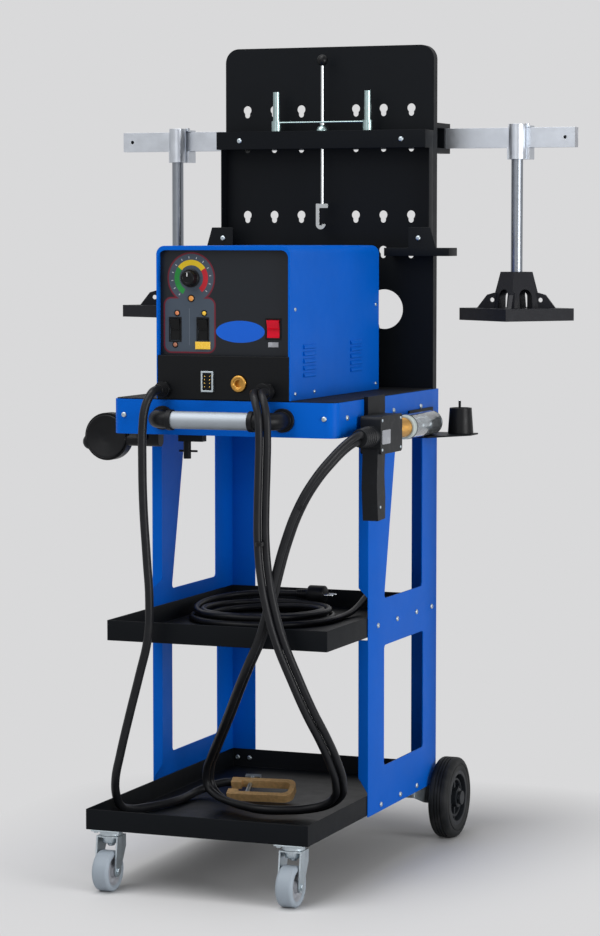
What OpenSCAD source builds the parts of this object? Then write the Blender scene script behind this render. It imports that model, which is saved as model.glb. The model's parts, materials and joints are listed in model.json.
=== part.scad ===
// Spot welding and dent pulling station on a two-tray trolley.
// Millimetres, +Z up, the front faces -Y, the origin is on the floor below the middle of the object.

/* [Trolley frame] */
// Width over the two side panels
cart_w = 440; // [400:5:470]
// Thickness of the panels and trays
sheet = 2; // [1.5:0.5:2.5]
// Rear wall of both trays, measured back from the origin
rear_y = 282; // [270:1:286]
// Length of the lower tray
lower_tray_l = 693; // [660:1:700]
// Length of the middle tray
middle_tray_l = 598; // [540:1:600]
// Height of the tray walls
tray_h = 38; // [30:1:42]
// Underside of the lower tray above the floor
lower_tray_z = 113; // [105:1:120]
// Underside of the middle tray above the floor
middle_tray_z = 449; // [420:1:470]
// Front to back length of a side panel
panel_l = 389; // [360:1:400]
// Lower edge of the panels below the underside of the lower tray
panel_drop = 3; // [2:1:8]
// Width of the folded rear edge of a panel
rear_fold_w = 52; // [30:1:70]
// Width of the folded front edge of a panel
front_fold_w = 20; // [12:1:30]

/* [Panel windows] */
// Front to back length of the lower window
lower_window_l = 225; // [150:1:240]
// Rear edge of the lower window in front of the rear walls
lower_window_rear = 77; // [60:1:90]
// Solid band above the lower tray
lower_window_gap = 43; // [20:1:60]
// Solid band below the middle tray
lower_window_top_gap = 25; // [15:1:40]
// Length of the upper window along its lower edge
upper_window_l = 218; // [160:1:230]
// Rear edge of the upper window in front of the rear walls
upper_window_rear = 85; // [65:1:100]
// Solid band above the middle tray
upper_window_gap = 26; // [15:1:40]
// Angle at which the front edge of the upper window leans back
upper_window_lean = 12.3; // [0:0.1:18]
// Corner radius of the windows
window_r = 8; // [3:1:12]

/* [Welder shelf] */
// Top face of the shelf above the floor
shelf_z = 895; // [860:1:930]
// Front to back length of the shelf
shelf_l = 566; // [540:1:580]
// Height of the folded lips of the shelf
lip_h = 64; // [50:1:70]
// Radius of the front corners of the shelf
shelf_corner_r = 20; // [8:1:30]
// Thickness of the rubber mat
mat_t = 2; // [1:0.5:3]
// Shelf edge left bare around the mat
mat_margin = 3; // [1:1:8]

/* [Handle] */
// Diameter of the handle tube
handle_d = 32; // [26:1:36]
// Length of the tube between its end collars
handle_l = 150; // [120:2:170]
// Height of the handle axis below the shelf top
handle_drop = 33; // [26:1:36]
// Bend radius of the end supports
handle_bend_r = 34; // [26:1:38]
// Length of the straight part behind each bend
handle_stem = 20; // [14:1:40]

/* [Rear wheels] */
// Diameter of the rear wheels
wheel_d = 160; // [150:2:170]
// Width of the rear tyres
wheel_w = 40; // [34:1:44]
// Diameter of the hub that carries the tyre
hub_d = 108; // [96:2:116]
// Diameter of the axle
axle_d = 16; // [12:1:18]
// Axle behind the rear walls of the trays
axle_back = 11; // [4:1:16]
// Gap between a side panel and its wheel
wheel_gap = 6; // [5:1:10]
// Radial running clearance of wheels on axles
run_gap = 0.05; // [0.03:0.01:0.08]

/* [Casters] */
// Diameter of the caster wheels
caster_d = 75; // [70:1:78]
// Width of the caster wheels
caster_w = 34; // [28:1:36]
// Distance of each swivel axis from the middle plane
caster_x = 180; // [160:1:186]
// Swivel axis behind the front of the lower tray
caster_back = 28; // [28:1:40]
// Wheel centre in front of the swivel axis, as after a push backwards
caster_trail = 16; // [14:1:24]
// Side of the square mounting plates
caster_plate = 56; // [50:1:60]
// Thickness of the caster steel
caster_t = 3; // [2:0.5:4]

/* [Tool board] */
// Front face of the board in front of the rear walls of the trays
board_inset = 24; // [20:1:30]
// Height of the board
board_h = 672; // [650:1:690]
// Depth of the folded edges behind the board
board_fold = 21; // [12:1:24]
// Radius of the upper corners of the board
board_r = 28; // [15:1:40]
// Height of the head of a keyhole
key_head = 17; // [14:1:20]
// Width of the foot of a keyhole
key_foot = 11; // [8:1:12]
// Distance between the head and foot centres of a keyhole
key_drop = 10; // [7:1:12]
// Spacing of the keyholes across the board
key_pitch_x = 57.8; // [50:0.2:62]
// Spacing of the keyhole rows
key_pitch_z = 69.5; // [60:0.5:72]
// Diameter of the cable hole
cable_hole_d = 78; // [60:2:90]

/* [Board shelves] */
// Upper face of the top shelf above the welder shelf
top_shelf_up = 506; // [490:1:520]
// Depth of the top shelf
top_shelf_l = 50; // [40:1:60]
// Height of the front lip of the top shelf
top_lip_h = 35; // [25:1:40]
// Upper face of the side rests above the welder shelf
rest_up = 277; // [270:1:290]
// Outer end of the side rests beyond the board
rest_out = 49; // [30:1:60]
// Diameter of the hanger posts
post_d = 14; // [10:1:18]
// Height of the hanger posts
post_h = 77; // [50:1:100]
// Distance between the hanger posts
post_gap = 192; // [160:2:240]

/* [Pulling beam] */
// Length of the beam
beam_l = 966; // [940:2:1000]
// Height of the beam section
beam_h = 39; // [34:1:42]
// Depth of the beam section
beam_t = 22; // [18:1:26]
// Wall of the beam section
beam_wall = 2.5; // [2:0.5:3]
// Middle of the beam above the welder shelf
beam_up = 492; // [480:1:500]
// Middle of the beam behind the rear walls of the trays
beam_back = 66; // [60:1:72]
// Width of the sliding blocks
slider_w = 45; // [38:1:52]
// Diameter of the leg tubes
leg_d = 23; // [18:1:26]
// Wall of the sleeves round the leg tubes
sleeve_wall = 5.5; // [4:0.5:7]
// Place of the left leg along the beam
left_leg_x = -355; // [-365:1:-352]
// Place of the right leg along the beam
right_leg_x = 370; // [352:1:376]
// Underside of the feet above the welder shelf
foot_up = 135; // [120:1:150]
// Side of the square foot plates
foot_w = 161; // [140:1:164]
// Thickness of a foot plate
foot_plate_t = 12; // [8:1:14]
// Thickness of the rubber under a foot plate
foot_pad_t = 12; // [8:1:14]
// Height of the foot body above its plate
foot_h = 71; // [60:1:78]
// Angle by which the left foot is turned about its tube
left_foot_turn = -24; // [-45:1:0]
// Angle by which the right foot is turned about its tube
right_foot_turn = -38; // [-45:1:0]

/* [Welder] */
// Width of the welder
welder_w = 264; // [250:2:280]
// Length of the welder
welder_l = 469; // [440:1:475]
// Height of the welder
welder_h = 280; // [270:1:290]
// Thickness of the cover
cover_t = 2; // [1.5:0.5:3]
// Radius of the upper edges of the cover
cover_r = 16; // [8:1:24]
// Depth of the front panel behind the edge of the cover
panel_recess = 14; // [5:1:16]
// Height of the black moulding below the front panel
moulding_h = 80; // [70:1:84]
// Diameter of the current knob
knob_d = 34; // [28:1:38]
// Height of the mode switches
rocker_h = 38; // [30:1:42]
// Width of the mode switches
rocker_w = 18; // [14:1:20]

/* [Spot gun] */
// Middle plane of the gun beyond the side panel
gun_out = 30; // [28:1:36]
// Height of the gun axis below the shelf top
gun_drop = 59; // [54:1:62]
// Length of the gun body
gun_l = 117; // [100:1:125]
// Height of the gun body
gun_h = 70; // [60:1:76]
// Width of the gun body
gun_w = 40; // [34:1:44]
// Length of the grip below the body
grip_l = 120; // [100:1:130]
// Depth of the grip
grip_d = 45; // [38:1:50]
// Diameter of the glass cylinder at the nose
nose_d = 47; // [40:1:49]
// Length of the nose behind its ring
nose_l = 145; // [120:1:150]

/* [Cables] */
// Diameter of the earth cable and of each lead of the gun cable
cable_d = 16; // [12:1:17]
// Diameter of the mains lead
mains_d = 12; // [10:1:12]

/* [Hidden] */

// Smoothness of the round parts
$fn = 48;
// Overlap that keeps a cut from ending on a face
eps = 0.5;

side = [-1, 1];
half_w = cart_w / 2;
panel_in = half_w - sheet;
shelf_half = half_w + sheet;
panel_front = rear_y - panel_l;
panel_z = lower_tray_z - panel_drop;
lower_front = rear_y - lower_tray_l;
middle_front = rear_y - middle_tray_l;
lower_top = lower_tray_z + tray_h;
middle_top = middle_tray_z + tray_h;
shelf_under = shelf_z - sheet;
shelf_rear = rear_y + 2 * sheet;
shelf_front = shelf_rear - shelf_l;
lip_bottom = shelf_under - lip_h + sheet;
mat_top = shelf_z + mat_t;

// Board, its shelves and the beam
board_y = rear_y - board_inset;
board_back = board_y + board_fold;
board_top = shelf_z + board_h;
mat_rear = board_y - 4;
top_shelf_z = shelf_z + top_shelf_up;
top_shelf_front = board_y - top_shelf_l;
rest_z = shelf_z + rest_up;
rest_front = top_shelf_front;
rest_end = half_w + rest_out;
rest_lip = 16;
post_x = post_gap / 2;
post_y = board_y - 37;
puller_y = post_y + 3;
puller_d = 6;
spigot_d = 6;
beam_y = rear_y + beam_back;
beam_z = shelf_z + beam_up;
beam_end = beam_l / 2;
leg_gap = 1.9;
leg_y = beam_y - beam_t / 2 - leg_d / 2 - leg_gap;
sleeve_r = leg_d / 2 + sleeve_wall;
sleeve_top = beam_z + beam_h / 2 + 6.5;
sleeve_bottom = beam_z - beam_h / 2 - 23;
foot_z = shelf_z + foot_up;
plate_z = foot_z + foot_pad_t;
foot_body_z = plate_z + foot_plate_t;
foot_top = foot_body_z + foot_h;
leg_seat = foot_top - 30;
leg_top = sleeve_top - 3;

// Wheels and casters
wheel_z = wheel_d / 2;
axle_y = rear_y + axle_back;
wheel_in = shelf_half + wheel_gap - sheet;
wheel_mid = wheel_in + wheel_w / 2;
axle_half = wheel_in + wheel_w + 2;
caster_y = lower_front + caster_back;
caster_wheel_y = caster_y - caster_trail;
caster_z = caster_d / 2;
race_h = 9;
fork_top = lower_tray_z - caster_t - race_h;
caster_axle_d = 8;
fork_gap = 1.5;

// Welder
welder_front_y = shelf_front;
welder_rear_y = welder_front_y + welder_l;
welder_z = mat_top;
welder_top = welder_z + welder_h;
face_y = welder_front_y + panel_recess;
front_t = 3;
inner_half = welder_w / 2 - cover_t;
moulding_top = welder_z + moulding_h;
knob_x = -68;
knob_z = welder_z + 221;
switch_z = welder_z + 127;
mode_x = [-100, -45];
power_x = 94;
power_z = switch_z + 3;
rocker_t = 10;
rocker_tilt = 7;
power_w = 24;
power_h = 32;
lamp_places = [[-68, 184, 12], [-96, 157, 10], [-42, 157, 10], [-100, 99, 10]];
lit_sign_x = -45;
lit_sign_z = welder_z + 98;
lit_sign_w = 30;
lit_sign_h = 14;
board_post_x = [-78, 70];
brass_x = 32;
brass_z = welder_z + 30;
square_x = -29;
square_z = welder_z + 33;
square_w = 24;
square_h = 38;
square_t = 6;
gland_z = welder_z + 17;
earth_gland_x = -118;
gun_gland_x = 88;
gland_d = 32;
gland_l = 26;
inlet_x = 88;
inlet_z = welder_z + 141;
inlet_l = 22;
switch_gap = 0.6;
lamp_t = 2;

// Gun and the tools at the sides
gun_x = half_w + gun_out;
gun_z = shelf_z - gun_drop;
gun_rear_y = -179;
gun_front_y = gun_rear_y + gun_l;
gun_top = gun_z + 31;
gun_bottom = gun_top - gun_h;
boot_l = 60;
boot_z = gun_z - 6;
grip_front_y = gun_rear_y + grip_d - 7;
slot_z = gun_bottom - 60;
slot_half = 16;
slot_w = 16;
trigger_gap = 0.4;
grip_bottom = gun_bottom - grip_l;
ring_y = gun_front_y + 78;
nose_end = ring_y + nose_l;
rest_plate_t = 3;
rest_plate_z = gun_z - nose_d / 2 - 0.3;
cup_x = half_w + 71;
cup_y = 218;
cup_h = 50;
tool_bar_y = -172;
tool_bar_z = shelf_z - 83;
tool_bar_d = 24;
disc_x = -half_w - 60;
disc_d = 90;

// Seat of each fastener, as [x, y, z], on the outer faces of the panels and lips
lower_screw_y = [-38, 71, 167];
middle_screw_y = [-56, 51, 162, 252];
lip_screw_y = [-228, 22, 178];
screw_d = 10;
screw_h = 3;

// Sheet standing in a YZ plane: the outline is given as [y, z]
module yz_sheet(x0, t) {
    translate([x0, 0, 0]) rotate([90, 0, 90]) linear_extrude(t) children();
}

// Sheet standing in an XZ plane: the outline is given as [x, z]
module xz_sheet(y0, t) {
    translate([0, y0 + t, 0]) rotate([90, 0, 0]) linear_extrude(t) children();
}

// Box given by its lowest and highest corners
module span(low, high) {
    translate(low) cube(high - low);
}

// Round bar along X from x0 to x1
module x_bar(x0, x1, y, z, d) {
    translate([x0, y, z]) rotate([0, 90, 0]) cylinder(h = x1 - x0, d = d);
}

// Round bar along Y from y0 to y1
module y_bar(y0, y1, x, z, d) {
    translate([x, y1, z]) rotate([90, 0, 0]) cylinder(h = y1 - y0, d = d);
}

// Round bar along Z from z0 to z1
module z_bar(z0, z1, x, y, d) {
    translate([x, y, z0]) cylinder(h = z1 - z0, d = d);
}

// Rectangle with four rounded corners, given by its lowest and highest corners
module round_rect(low, high, r) {
    translate([low[0] + r, low[1]]) square([high[0] - low[0] - 2 * r, high[1] - low[1]]);
    translate([low[0], low[1] + r]) square([high[0] - low[0], high[1] - low[1] - 2 * r]);
    for (x = [low[0] + r, high[0] - r], y = [low[1] + r, high[1] - r]) translate([x, y]) circle(r);
}

// Rectangle with two rounded corners at its top
module round_top(x, z0, z1, r) {
    translate([-x, z0]) square([2 * x, z1 - z0 - r]);
    translate([-x + r, z0]) square([2 * x - 2 * r, z1 - z0]);
    for (s = side) translate([s * (x - r), z1 - r]) circle(r);
}

// Folded tray, open at the top
module tray(front, z) {
    difference() {
        span([-panel_in, front, z], [panel_in, rear_y, z + tray_h]);
        span([-panel_in + sheet, front + sheet, z + sheet],
             [panel_in - sheet, rear_y - sheet, z + tray_h + eps]);
    }
}

module lower_tray() {
    color("#14171a") tray(lower_front, lower_tray_z);
}

module middle_tray() {
    color("#14171a") tray(middle_front, middle_tray_z);
}

// Windows of a side panel, as [y, z] outlines
module lower_window() {
    rear = rear_y - lower_window_rear;
    round_rect([rear - lower_window_l, lower_top + lower_window_gap],
               [rear, middle_tray_z - lower_window_top_gap], window_r);
}

module upper_window() {
    rear = rear_y - upper_window_rear;
    low = middle_top + upper_window_gap;
    high = lip_bottom + 18;
    front = rear - upper_window_l;
    lean = upper_window_lean;
    r = window_r;
    corner_y = front + r * tan(lean) + r / cos(lean);
    polygon([[corner_y, low], [rear - r, low], [rear, low + r], [rear, high],
             [front + (high - low) * tan(lean), high],
             [corner_y - r * cos(lean), low + r + r * sin(lean)]]);
    translate([corner_y, low + r]) circle(r);
    translate([rear - r, low + r]) circle(r);
}

// Side panel on one side: -1 left, 1 right
module side_panel(s) {
    outer = s * half_w;
    cut = 2;
    difference() {
        union() {
            yz_sheet(min(outer, outer - s * sheet), sheet) difference() {
                translate([panel_front, panel_z]) square([panel_l + sheet, shelf_under - panel_z]);
                lower_window();
                upper_window();
            }
            xz_sheet(rear_y, sheet) scale([s, 1])
                translate([half_w - rear_fold_w, panel_z]) square([rear_fold_w, shelf_under - panel_z]);
            xz_sheet(panel_front, sheet) scale([s, 1]) front_fold();
        }
        // clearance where the trays pass the folded front edge
        span([s > 0 ? half_w - front_fold_w - cut : -panel_in, panel_front - eps, lower_tray_z - 10],
             [s > 0 ? panel_in : -half_w + front_fold_w + cut, panel_front + sheet, lower_top + cut]);
        span([s > 0 ? half_w - front_fold_w - cut : -panel_in, panel_front - eps, middle_tray_z - cut - 3],
             [s > 0 ? panel_in : -half_w + front_fold_w + cut, panel_front + sheet, middle_top + cut]);
    }
}

// Folded front edge in two lengths, with its free corners cut at 45 degrees
module front_fold() {
    inner = half_w - front_fold_w;
    low = lower_top + 2;
    mid = middle_top + 34;
    polygon([[half_w, low], [inner, low + front_fold_w + 11], [inner, middle_tray_z - 5],
             [half_w, middle_tray_z - 5]]);
    polygon([[half_w, mid], [inner, mid + front_fold_w], [inner, shelf_under], [half_w, shelf_under]]);
}

module left_side_panel() {
    color("#0a4fc0") side_panel(-1);
}

module right_side_panel() {
    color("#0a5fd0") side_panel(1);
}

// Outline of the shelf seen from above, drawn in by a distance
module shelf_outline(inset) {
    w = shelf_half - inset;
    front = shelf_front + inset;
    r = shelf_corner_r - inset;
    translate([-w, front + r]) square([2 * w, shelf_rear - inset - front - r]);
    translate([-w + r, front]) square([2 * w - 2 * r, 2 * r]);
    for (s = side) translate([s * (w - r), front + r]) circle(r);
}

module welder_shelf() {
    color("#0a50c8") difference() {
        translate([0, 0, lip_bottom]) linear_extrude(shelf_z - lip_bottom) shelf_outline(0);
        translate([0, 0, lip_bottom - eps]) linear_extrude(lip_h - sheet + eps) shelf_outline(sheet);
    }
}

module shelf_mat() {
    color("#101214") translate([0, 0, shelf_z]) linear_extrude(mat_t) intersection() {
        shelf_outline(mat_margin);
        translate([-half_w, shelf_front]) square([cart_w, mat_rear - shelf_front]);
    }
}

// Pan-head screw on a face: turned so that its head looks along the given rotation
module screw(place, turn) {
    translate(place) rotate(turn) cylinder(h = screw_h, d1 = screw_d, d2 = screw_d - 4);
}

// All visible screws and bolt heads of the frame
module frame_screws() {
    color("silver") {
        for (s = side) {
            for (y = lower_screw_y) screw([s * half_w, y, lower_tray_z + 10], [0, s * 90, 0]);
            for (y = middle_screw_y) screw([s * half_w, y, middle_tray_z + 17], [0, s * 90, 0]);
            for (y = lip_screw_y) screw([s * shelf_half, y, shelf_z - 29], [0, s * 90, 0]);
            screw([s * (shelf_half - 24), shelf_front, shelf_z - 29], [90, 0, 0]);
            for (x = [half_w - 14, half_w - 40], z = [lower_tray_z, middle_tray_z])
                screw([s * x, rear_y - sheet, z + 20], [90, 0, 0]);
            screw([s * (half_w - 14), rest_front, rest_z + 19], [90, 0, 0]);
            screw([s * (half_w - 50), top_shelf_front, top_shelf_z - 18], [90, 0, 0]);
        }
    }
}

// Handle
handle_y = shelf_front - handle_bend_r - handle_stem;
handle_z = shelf_z - handle_drop;
collar_l = 10;
socket_l = 7;
collar_d = handle_d + 6;

module handle_tube() {
    color("silver") difference() {
        x_bar(-handle_l / 2 - socket_l, handle_l / 2 + socket_l, handle_y, handle_z, handle_d);
        x_bar(-handle_l / 2 - socket_l - eps, handle_l / 2 + socket_l + eps,
              handle_y, handle_z, handle_d - 4);
    }
}

// Elbow from the end of the handle tube back to the front lip of the shelf
module handle_support(s) {
    base_x = handle_l / 2 + collar_l + handle_bend_r;
    base_t = 6;
    difference() {
        union() {
            if (s > 0) x_bar(handle_l / 2, handle_l / 2 + collar_l, handle_y, handle_z, collar_d);
            if (s < 0) x_bar(-handle_l / 2 - collar_l, -handle_l / 2, handle_y, handle_z, collar_d);
            translate([s * (base_x - handle_bend_r), handle_y + handle_bend_r, handle_z])
                rotate([0, 0, s > 0 ? -90 : 180]) rotate_extrude(angle = 90)
                translate([handle_bend_r, 0]) circle(d = handle_d);
            y_bar(handle_y + handle_bend_r, shelf_front - base_t, s * base_x, handle_z, handle_d);
            y_bar(shelf_front - base_t, shelf_front, s * base_x, handle_z, handle_d + 12);
        }
        if (s > 0) x_bar(handle_l / 2 - eps, handle_l / 2 + socket_l, handle_y, handle_z, handle_d);
        if (s < 0) x_bar(-handle_l / 2 - socket_l, -handle_l / 2 + eps, handle_y, handle_z, handle_d);
    }
}

module handle_supports() {
    color("#17191c") for (s = side) handle_support(s);
}

// Rear axle with its end caps
module rear_axle() {
    color("silver") x_bar(-axle_half, axle_half, axle_y, wheel_z, axle_d);
    color("#202326") for (s = side) {
        x0 = s > 0 ? axle_half : -axle_half - 5;
        x_bar(x0, x0 + 5, axle_y, wheel_z, axle_d + 12);
    }
}

// Angle brackets below the tray that carry the axle
bracket_t = 4;
bracket_l = 130;
bracket_w = 46;

module axle_brackets() {
    color("#b9c0c6") for (s = side) {
        x0 = s > 0 ? panel_in - bracket_t : -panel_in;
        difference() {
            union() {
                yz_sheet(x0, bracket_t) bracket_ear();
                span([s > 0 ? panel_in - bracket_w : -panel_in, axle_y - bracket_l, lower_tray_z - bracket_t],
                     [s > 0 ? panel_in : bracket_w - panel_in, rear_y - 2, lower_tray_z]);
            }
            x_bar(x0 - eps, x0 + bracket_t + eps, axle_y, wheel_z, axle_d);
        }
    }
}

// Outline of an ear as [y, z]: a tapered plate with a round boss at the axle
module bracket_ear() {
    boss = axle_d / 2 + 8;
    polygon([[axle_y - bracket_l, lower_tray_z], [axle_y - bracket_l, lower_tray_z - 14],
             [axle_y - bracket_l / 2, wheel_z - 2], [axle_y, wheel_z - boss], [axle_y + boss, wheel_z],
             [rear_y + sheet, panel_z - 1], [rear_y - 1, panel_z - 1], [rear_y - 1, lower_tray_z]]);
    translate([axle_y, wheel_z]) circle(boss);
}

// Rear wheel parts about the wheel middle on one side
module rear_tyre(s) {
    r = wheel_d / 2;
    shoulder = 9;
    w = wheel_w / 2;
    translate([s * wheel_mid, axle_y, wheel_z]) rotate([0, 90, 0]) rotate_extrude($fn = 64) union() {
        translate([hub_d / 2, -w]) square([r - shoulder - hub_d / 2, wheel_w]);
        translate([hub_d / 2, -w + shoulder]) square([r - hub_d / 2, wheel_w - 2 * shoulder]);
        for (z = side) translate([r - shoulder, z * (w - shoulder)]) circle(shoulder);
    }
}

module rear_hub(s) {
    bore_r = axle_d / 2 + run_gap;
    w = wheel_w / 2;
    rim = 8;
    translate([s * wheel_mid, axle_y, wheel_z]) rotate([0, 90, 0]) rotate_extrude($fn = 64) union() {
        translate([bore_r, -w]) square([11, wheel_w]);
        translate([bore_r, -5]) square([hub_d / 2 - bore_r, 10]);
        translate([hub_d / 2 - rim, -w + 1]) square([rim, wheel_w - 2]);
        for (z = side) translate([34, z * 8 - 5]) square([5, 10]);
    }
}

module left_rear_tyre() {
    color("#15181a") rear_tyre(-1);
}

module right_rear_tyre() {
    color("#15181a") rear_tyre(1);
}

module left_rear_hub() {
    color("#24282b") rear_hub(-1);
}

module right_rear_hub() {
    color("#24282b") rear_hub(1);
}

// Caster mounting plates with the fixed half of the swivel
module caster_plates() {
    half = caster_plate / 2;
    color("#b9c0c6") for (s = side) {
        span([s * caster_x - half, caster_y - half, lower_tray_z - caster_t],
             [s * caster_x + half, caster_y + half, lower_tray_z]);
        z_bar(fork_top + 0.3, lower_tray_z - caster_t, s * caster_x, caster_y, 42);
    }
}

// Swivel fork with the wheel pin riveted through its arms
module caster_fork(s) {
    arm_in = caster_w / 2 + fork_gap;
    x = s * caster_x;
    crown_z = fork_top - caster_t;
    crown_r = 22;
    arm_l = 18;
    eye_r = 11;
    z_bar(crown_z, fork_top, x, caster_y, 2 * crown_r);
    span([x - arm_in - caster_t, caster_y - arm_l, crown_z],
         [x + arm_in + caster_t, caster_y + arm_l, fork_top]);
    for (t = side) {
        x0 = t > 0 ? x + arm_in : x - arm_in - caster_t;
        yz_sheet(x0, caster_t) union() {
            polygon([[caster_y + arm_l, fork_top], [caster_y - arm_l, fork_top],
                     [caster_wheel_y - eye_r, caster_z], [caster_wheel_y + eye_r, caster_z],
                     [caster_y + arm_l, fork_top - 22]]);
            translate([caster_wheel_y, caster_z]) circle(eye_r);
        }
    }
    x_bar(x - arm_in - caster_t - 3, x + arm_in + caster_t + 3, caster_wheel_y, caster_z, caster_axle_d);
}

module caster_wheel(s) {
    w = caster_w / 2;
    bore_r = caster_axle_d / 2 + run_gap;
    r = caster_d / 2;
    translate([s * caster_x, caster_wheel_y, caster_z]) rotate([0, 90, 0]) rotate_extrude($fn = 64) union() {
        translate([bore_r, -w]) square([8, caster_w]);
        translate([bore_r, -w + 5]) square([r - 6 - bore_r, caster_w - 10]);
        translate([r - 12, -w]) square([8, caster_w]);
        translate([r - 12, -w + 4]) square([12, caster_w - 8]);
        for (z = side) translate([r - 4, z * (w - 4)]) circle(4);
    }
}

module left_caster_fork() {
    color("#c2c8cc") caster_fork(-1);
}

module right_caster_fork() {
    color("#c2c8cc") caster_fork(1);
}

module left_caster_wheel() {
    color("#7d8285") caster_wheel(-1);
}

module right_caster_wheel() {
    color("#7d8285") caster_wheel(1);
}

// One keyhole as an [x, z] outline about the middle of its head
module keyhole() {
    circle(d = key_head);
    translate([-key_foot / 2, -key_drop]) square([key_foot, key_drop]);
    translate([0, -key_drop]) circle(d = key_foot);
}

// Pressed steel tool board, open at the back
module backboard() {
    top_row = board_top - 122;
    color("#16181b") difference() {
        xz_sheet(board_y, board_fold) round_top(half_w, shelf_z, board_top, board_r);
        xz_sheet(board_y + sheet, board_fold) round_top(panel_in, shelf_z + sheet, board_top - sheet,
                                                        board_r - sheet);
        for (row = [0, 1, 3, 4], col = [1, 2, 3], s = side)
            xz_sheet(board_y - eps, sheet + 2 * eps)
                translate([s * col * key_pitch_x, top_row - row * key_pitch_z]) keyhole();
        y_bar(board_y - eps, board_y + sheet + eps, 118, shelf_z + 156, cable_hole_d);
    }
}

// Shelf with a front lip, and cheeks that run down the sides of the board to the side rests
module top_shelf() {
    cheek_l = 27;
    color("#121416") {
        difference() {
            span([-half_w, top_shelf_front, top_shelf_z - top_lip_h], [half_w, board_y, top_shelf_z]);
            span([-panel_in, top_shelf_front + sheet, top_shelf_z - top_lip_h - eps],
                 [panel_in, board_y + eps, top_shelf_z - sheet]);
            for (s = side) z_bar(top_shelf_z - sheet - eps, top_shelf_z + eps, s * post_x, post_y, spigot_d);
            z_bar(top_shelf_z - sheet - eps, top_shelf_z + eps, 0, puller_y, puller_d + 1);
        }
        for (s = side) {
            x0 = s > 0 ? panel_in : -half_w;
            span([x0, board_y - cheek_l, rest_z], [x0 + sheet, board_y, top_shelf_z - top_lip_h]);
        }
    }
}

// Two rests at the sides of the board, each with a folded lip and an upright front plate
module side_rests() {
    inner = half_w - 85;
    plate_in = half_w - 35;
    color("#1b1714") for (s = side) {
        x0 = s > 0 ? inner : -rest_end;
        x1 = s > 0 ? rest_end : -inner;
        difference() {
            span([x0, rest_front, rest_z - rest_lip], [x1, board_y, rest_z]);
            span([x0 + sheet, rest_front + sheet, rest_z - rest_lip - eps],
                 [x1 - sheet, board_y + eps, rest_z - sheet]);
        }
        xz_sheet(rest_front, sheet) scale([s, 1])
            polygon([[plate_in, rest_z - eps], [rest_end - 27, rest_z - eps], [rest_end - 39, rest_z + 40],
                     [plate_in, rest_z + 40]]);
    }
}

// Two posts with collars, the thin rod that joins them and the round guide of the puller
module hanger_posts() {
    rod_z = top_shelf_z + 17;
    collar_h = 20;
    guide_d = 24;
    color("#9fb3b3") {
        for (s = side) {
            z_bar(top_shelf_z, top_shelf_z + collar_h, s * post_x, post_y, post_d + 6);
            z_bar(top_shelf_z + collar_h, top_shelf_z + post_h, s * post_x, post_y, post_d);
            z_bar(top_shelf_z - 8, top_shelf_z, s * post_x, post_y, spigot_d);
        }
        x_bar(-post_x, post_x, post_y - 5, rod_z, 3);
        difference() {
            intersection() {
                translate([0, puller_y, top_shelf_z]) sphere(d = guide_d);
                z_bar(top_shelf_z, top_shelf_z + guide_d, 0, puller_y, guide_d + 2);
            }
            z_bar(top_shelf_z - eps, top_shelf_z + guide_d, 0, puller_y, puller_d + 2 * run_gap);
        }
    }
}

// Rod with a ball knob that drops through its guide and ends in a hook
module puller_rod() {
    hook_r = 10;
    hook_top = rest_z + 86;
    hook_y0 = puller_y - 4;
    ball_z = board_top - 28;
    stop_z = top_shelf_z + 12.3;
    color("#c9ced0") {
        z_bar(hook_top - 1, ball_z - 6, 0, puller_y, puller_d);
        z_bar(stop_z, stop_z + 3.5, 0, puller_y, 10);
        // hook: an upper arm, a shank and a turned-up toe
        span([-12, hook_y0, hook_top - 8], [13, hook_y0 + 8, hook_top]);
        span([-12, hook_y0, hook_top - 40], [-5, hook_y0 + 8, hook_top]);
        translate([-2, hook_y0 + 8, hook_top - 40]) rotate([90, 0, 0]) linear_extrude(8) difference() {
            circle(hook_r);
            circle(hook_r - 7);
            translate([-hook_r - 1, 0]) square([2 * hook_r + 2, hook_r + 1]);
        }
    }
    color("#101214") translate([0, puller_y, ball_z]) sphere(d = 22);
}

// Rectangular aluminium beam with plugged ends
module pull_beam() {
    y0 = beam_y - beam_t / 2;
    z0 = beam_z - beam_h / 2;
    plug = 3;
    hole_x = beam_end - 20;
    color("#c3c9d2") difference() {
        span([-beam_end + plug, y0, z0], [beam_end - plug, y0 + beam_t, z0 + beam_h]);
        span([-beam_end, y0 + beam_wall, z0 + beam_wall],
             [beam_end, y0 + beam_t - beam_wall, z0 + beam_h - beam_wall]);
        for (s = side) y_bar(y0 - eps, y0 + beam_t + eps, s * hole_x, beam_z, 7);
    }
    color("#8d9298") for (s = side) {
        x0 = s > 0 ? beam_end - plug : -beam_end;
        span([x0, y0, z0], [x0 + plug, y0 + beam_t, z0 + beam_h]);
    }
}

// Saddles that carry the beam behind the board
module beam_brackets() {
    bracket_w = 20;
    y0 = board_y + sheet;
    y1 = beam_y + beam_t / 2 + 5;
    z0 = beam_z - beam_h / 2;
    color("#16181b") for (s = side) {
        x0 = s > 0 ? panel_in - bracket_w : -panel_in;
        yz_sheet(x0, bracket_w) difference() {
            translate([y0, z0 - 10]) square([y1 - y0, beam_h + 20]);
            translate([beam_y - beam_t / 2, z0]) square([beam_t, beam_h]);
            translate([y0 + 8, z0]) square([beam_y - beam_t / 2 - y0 - 16, beam_h]);
        }
    }
}

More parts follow.
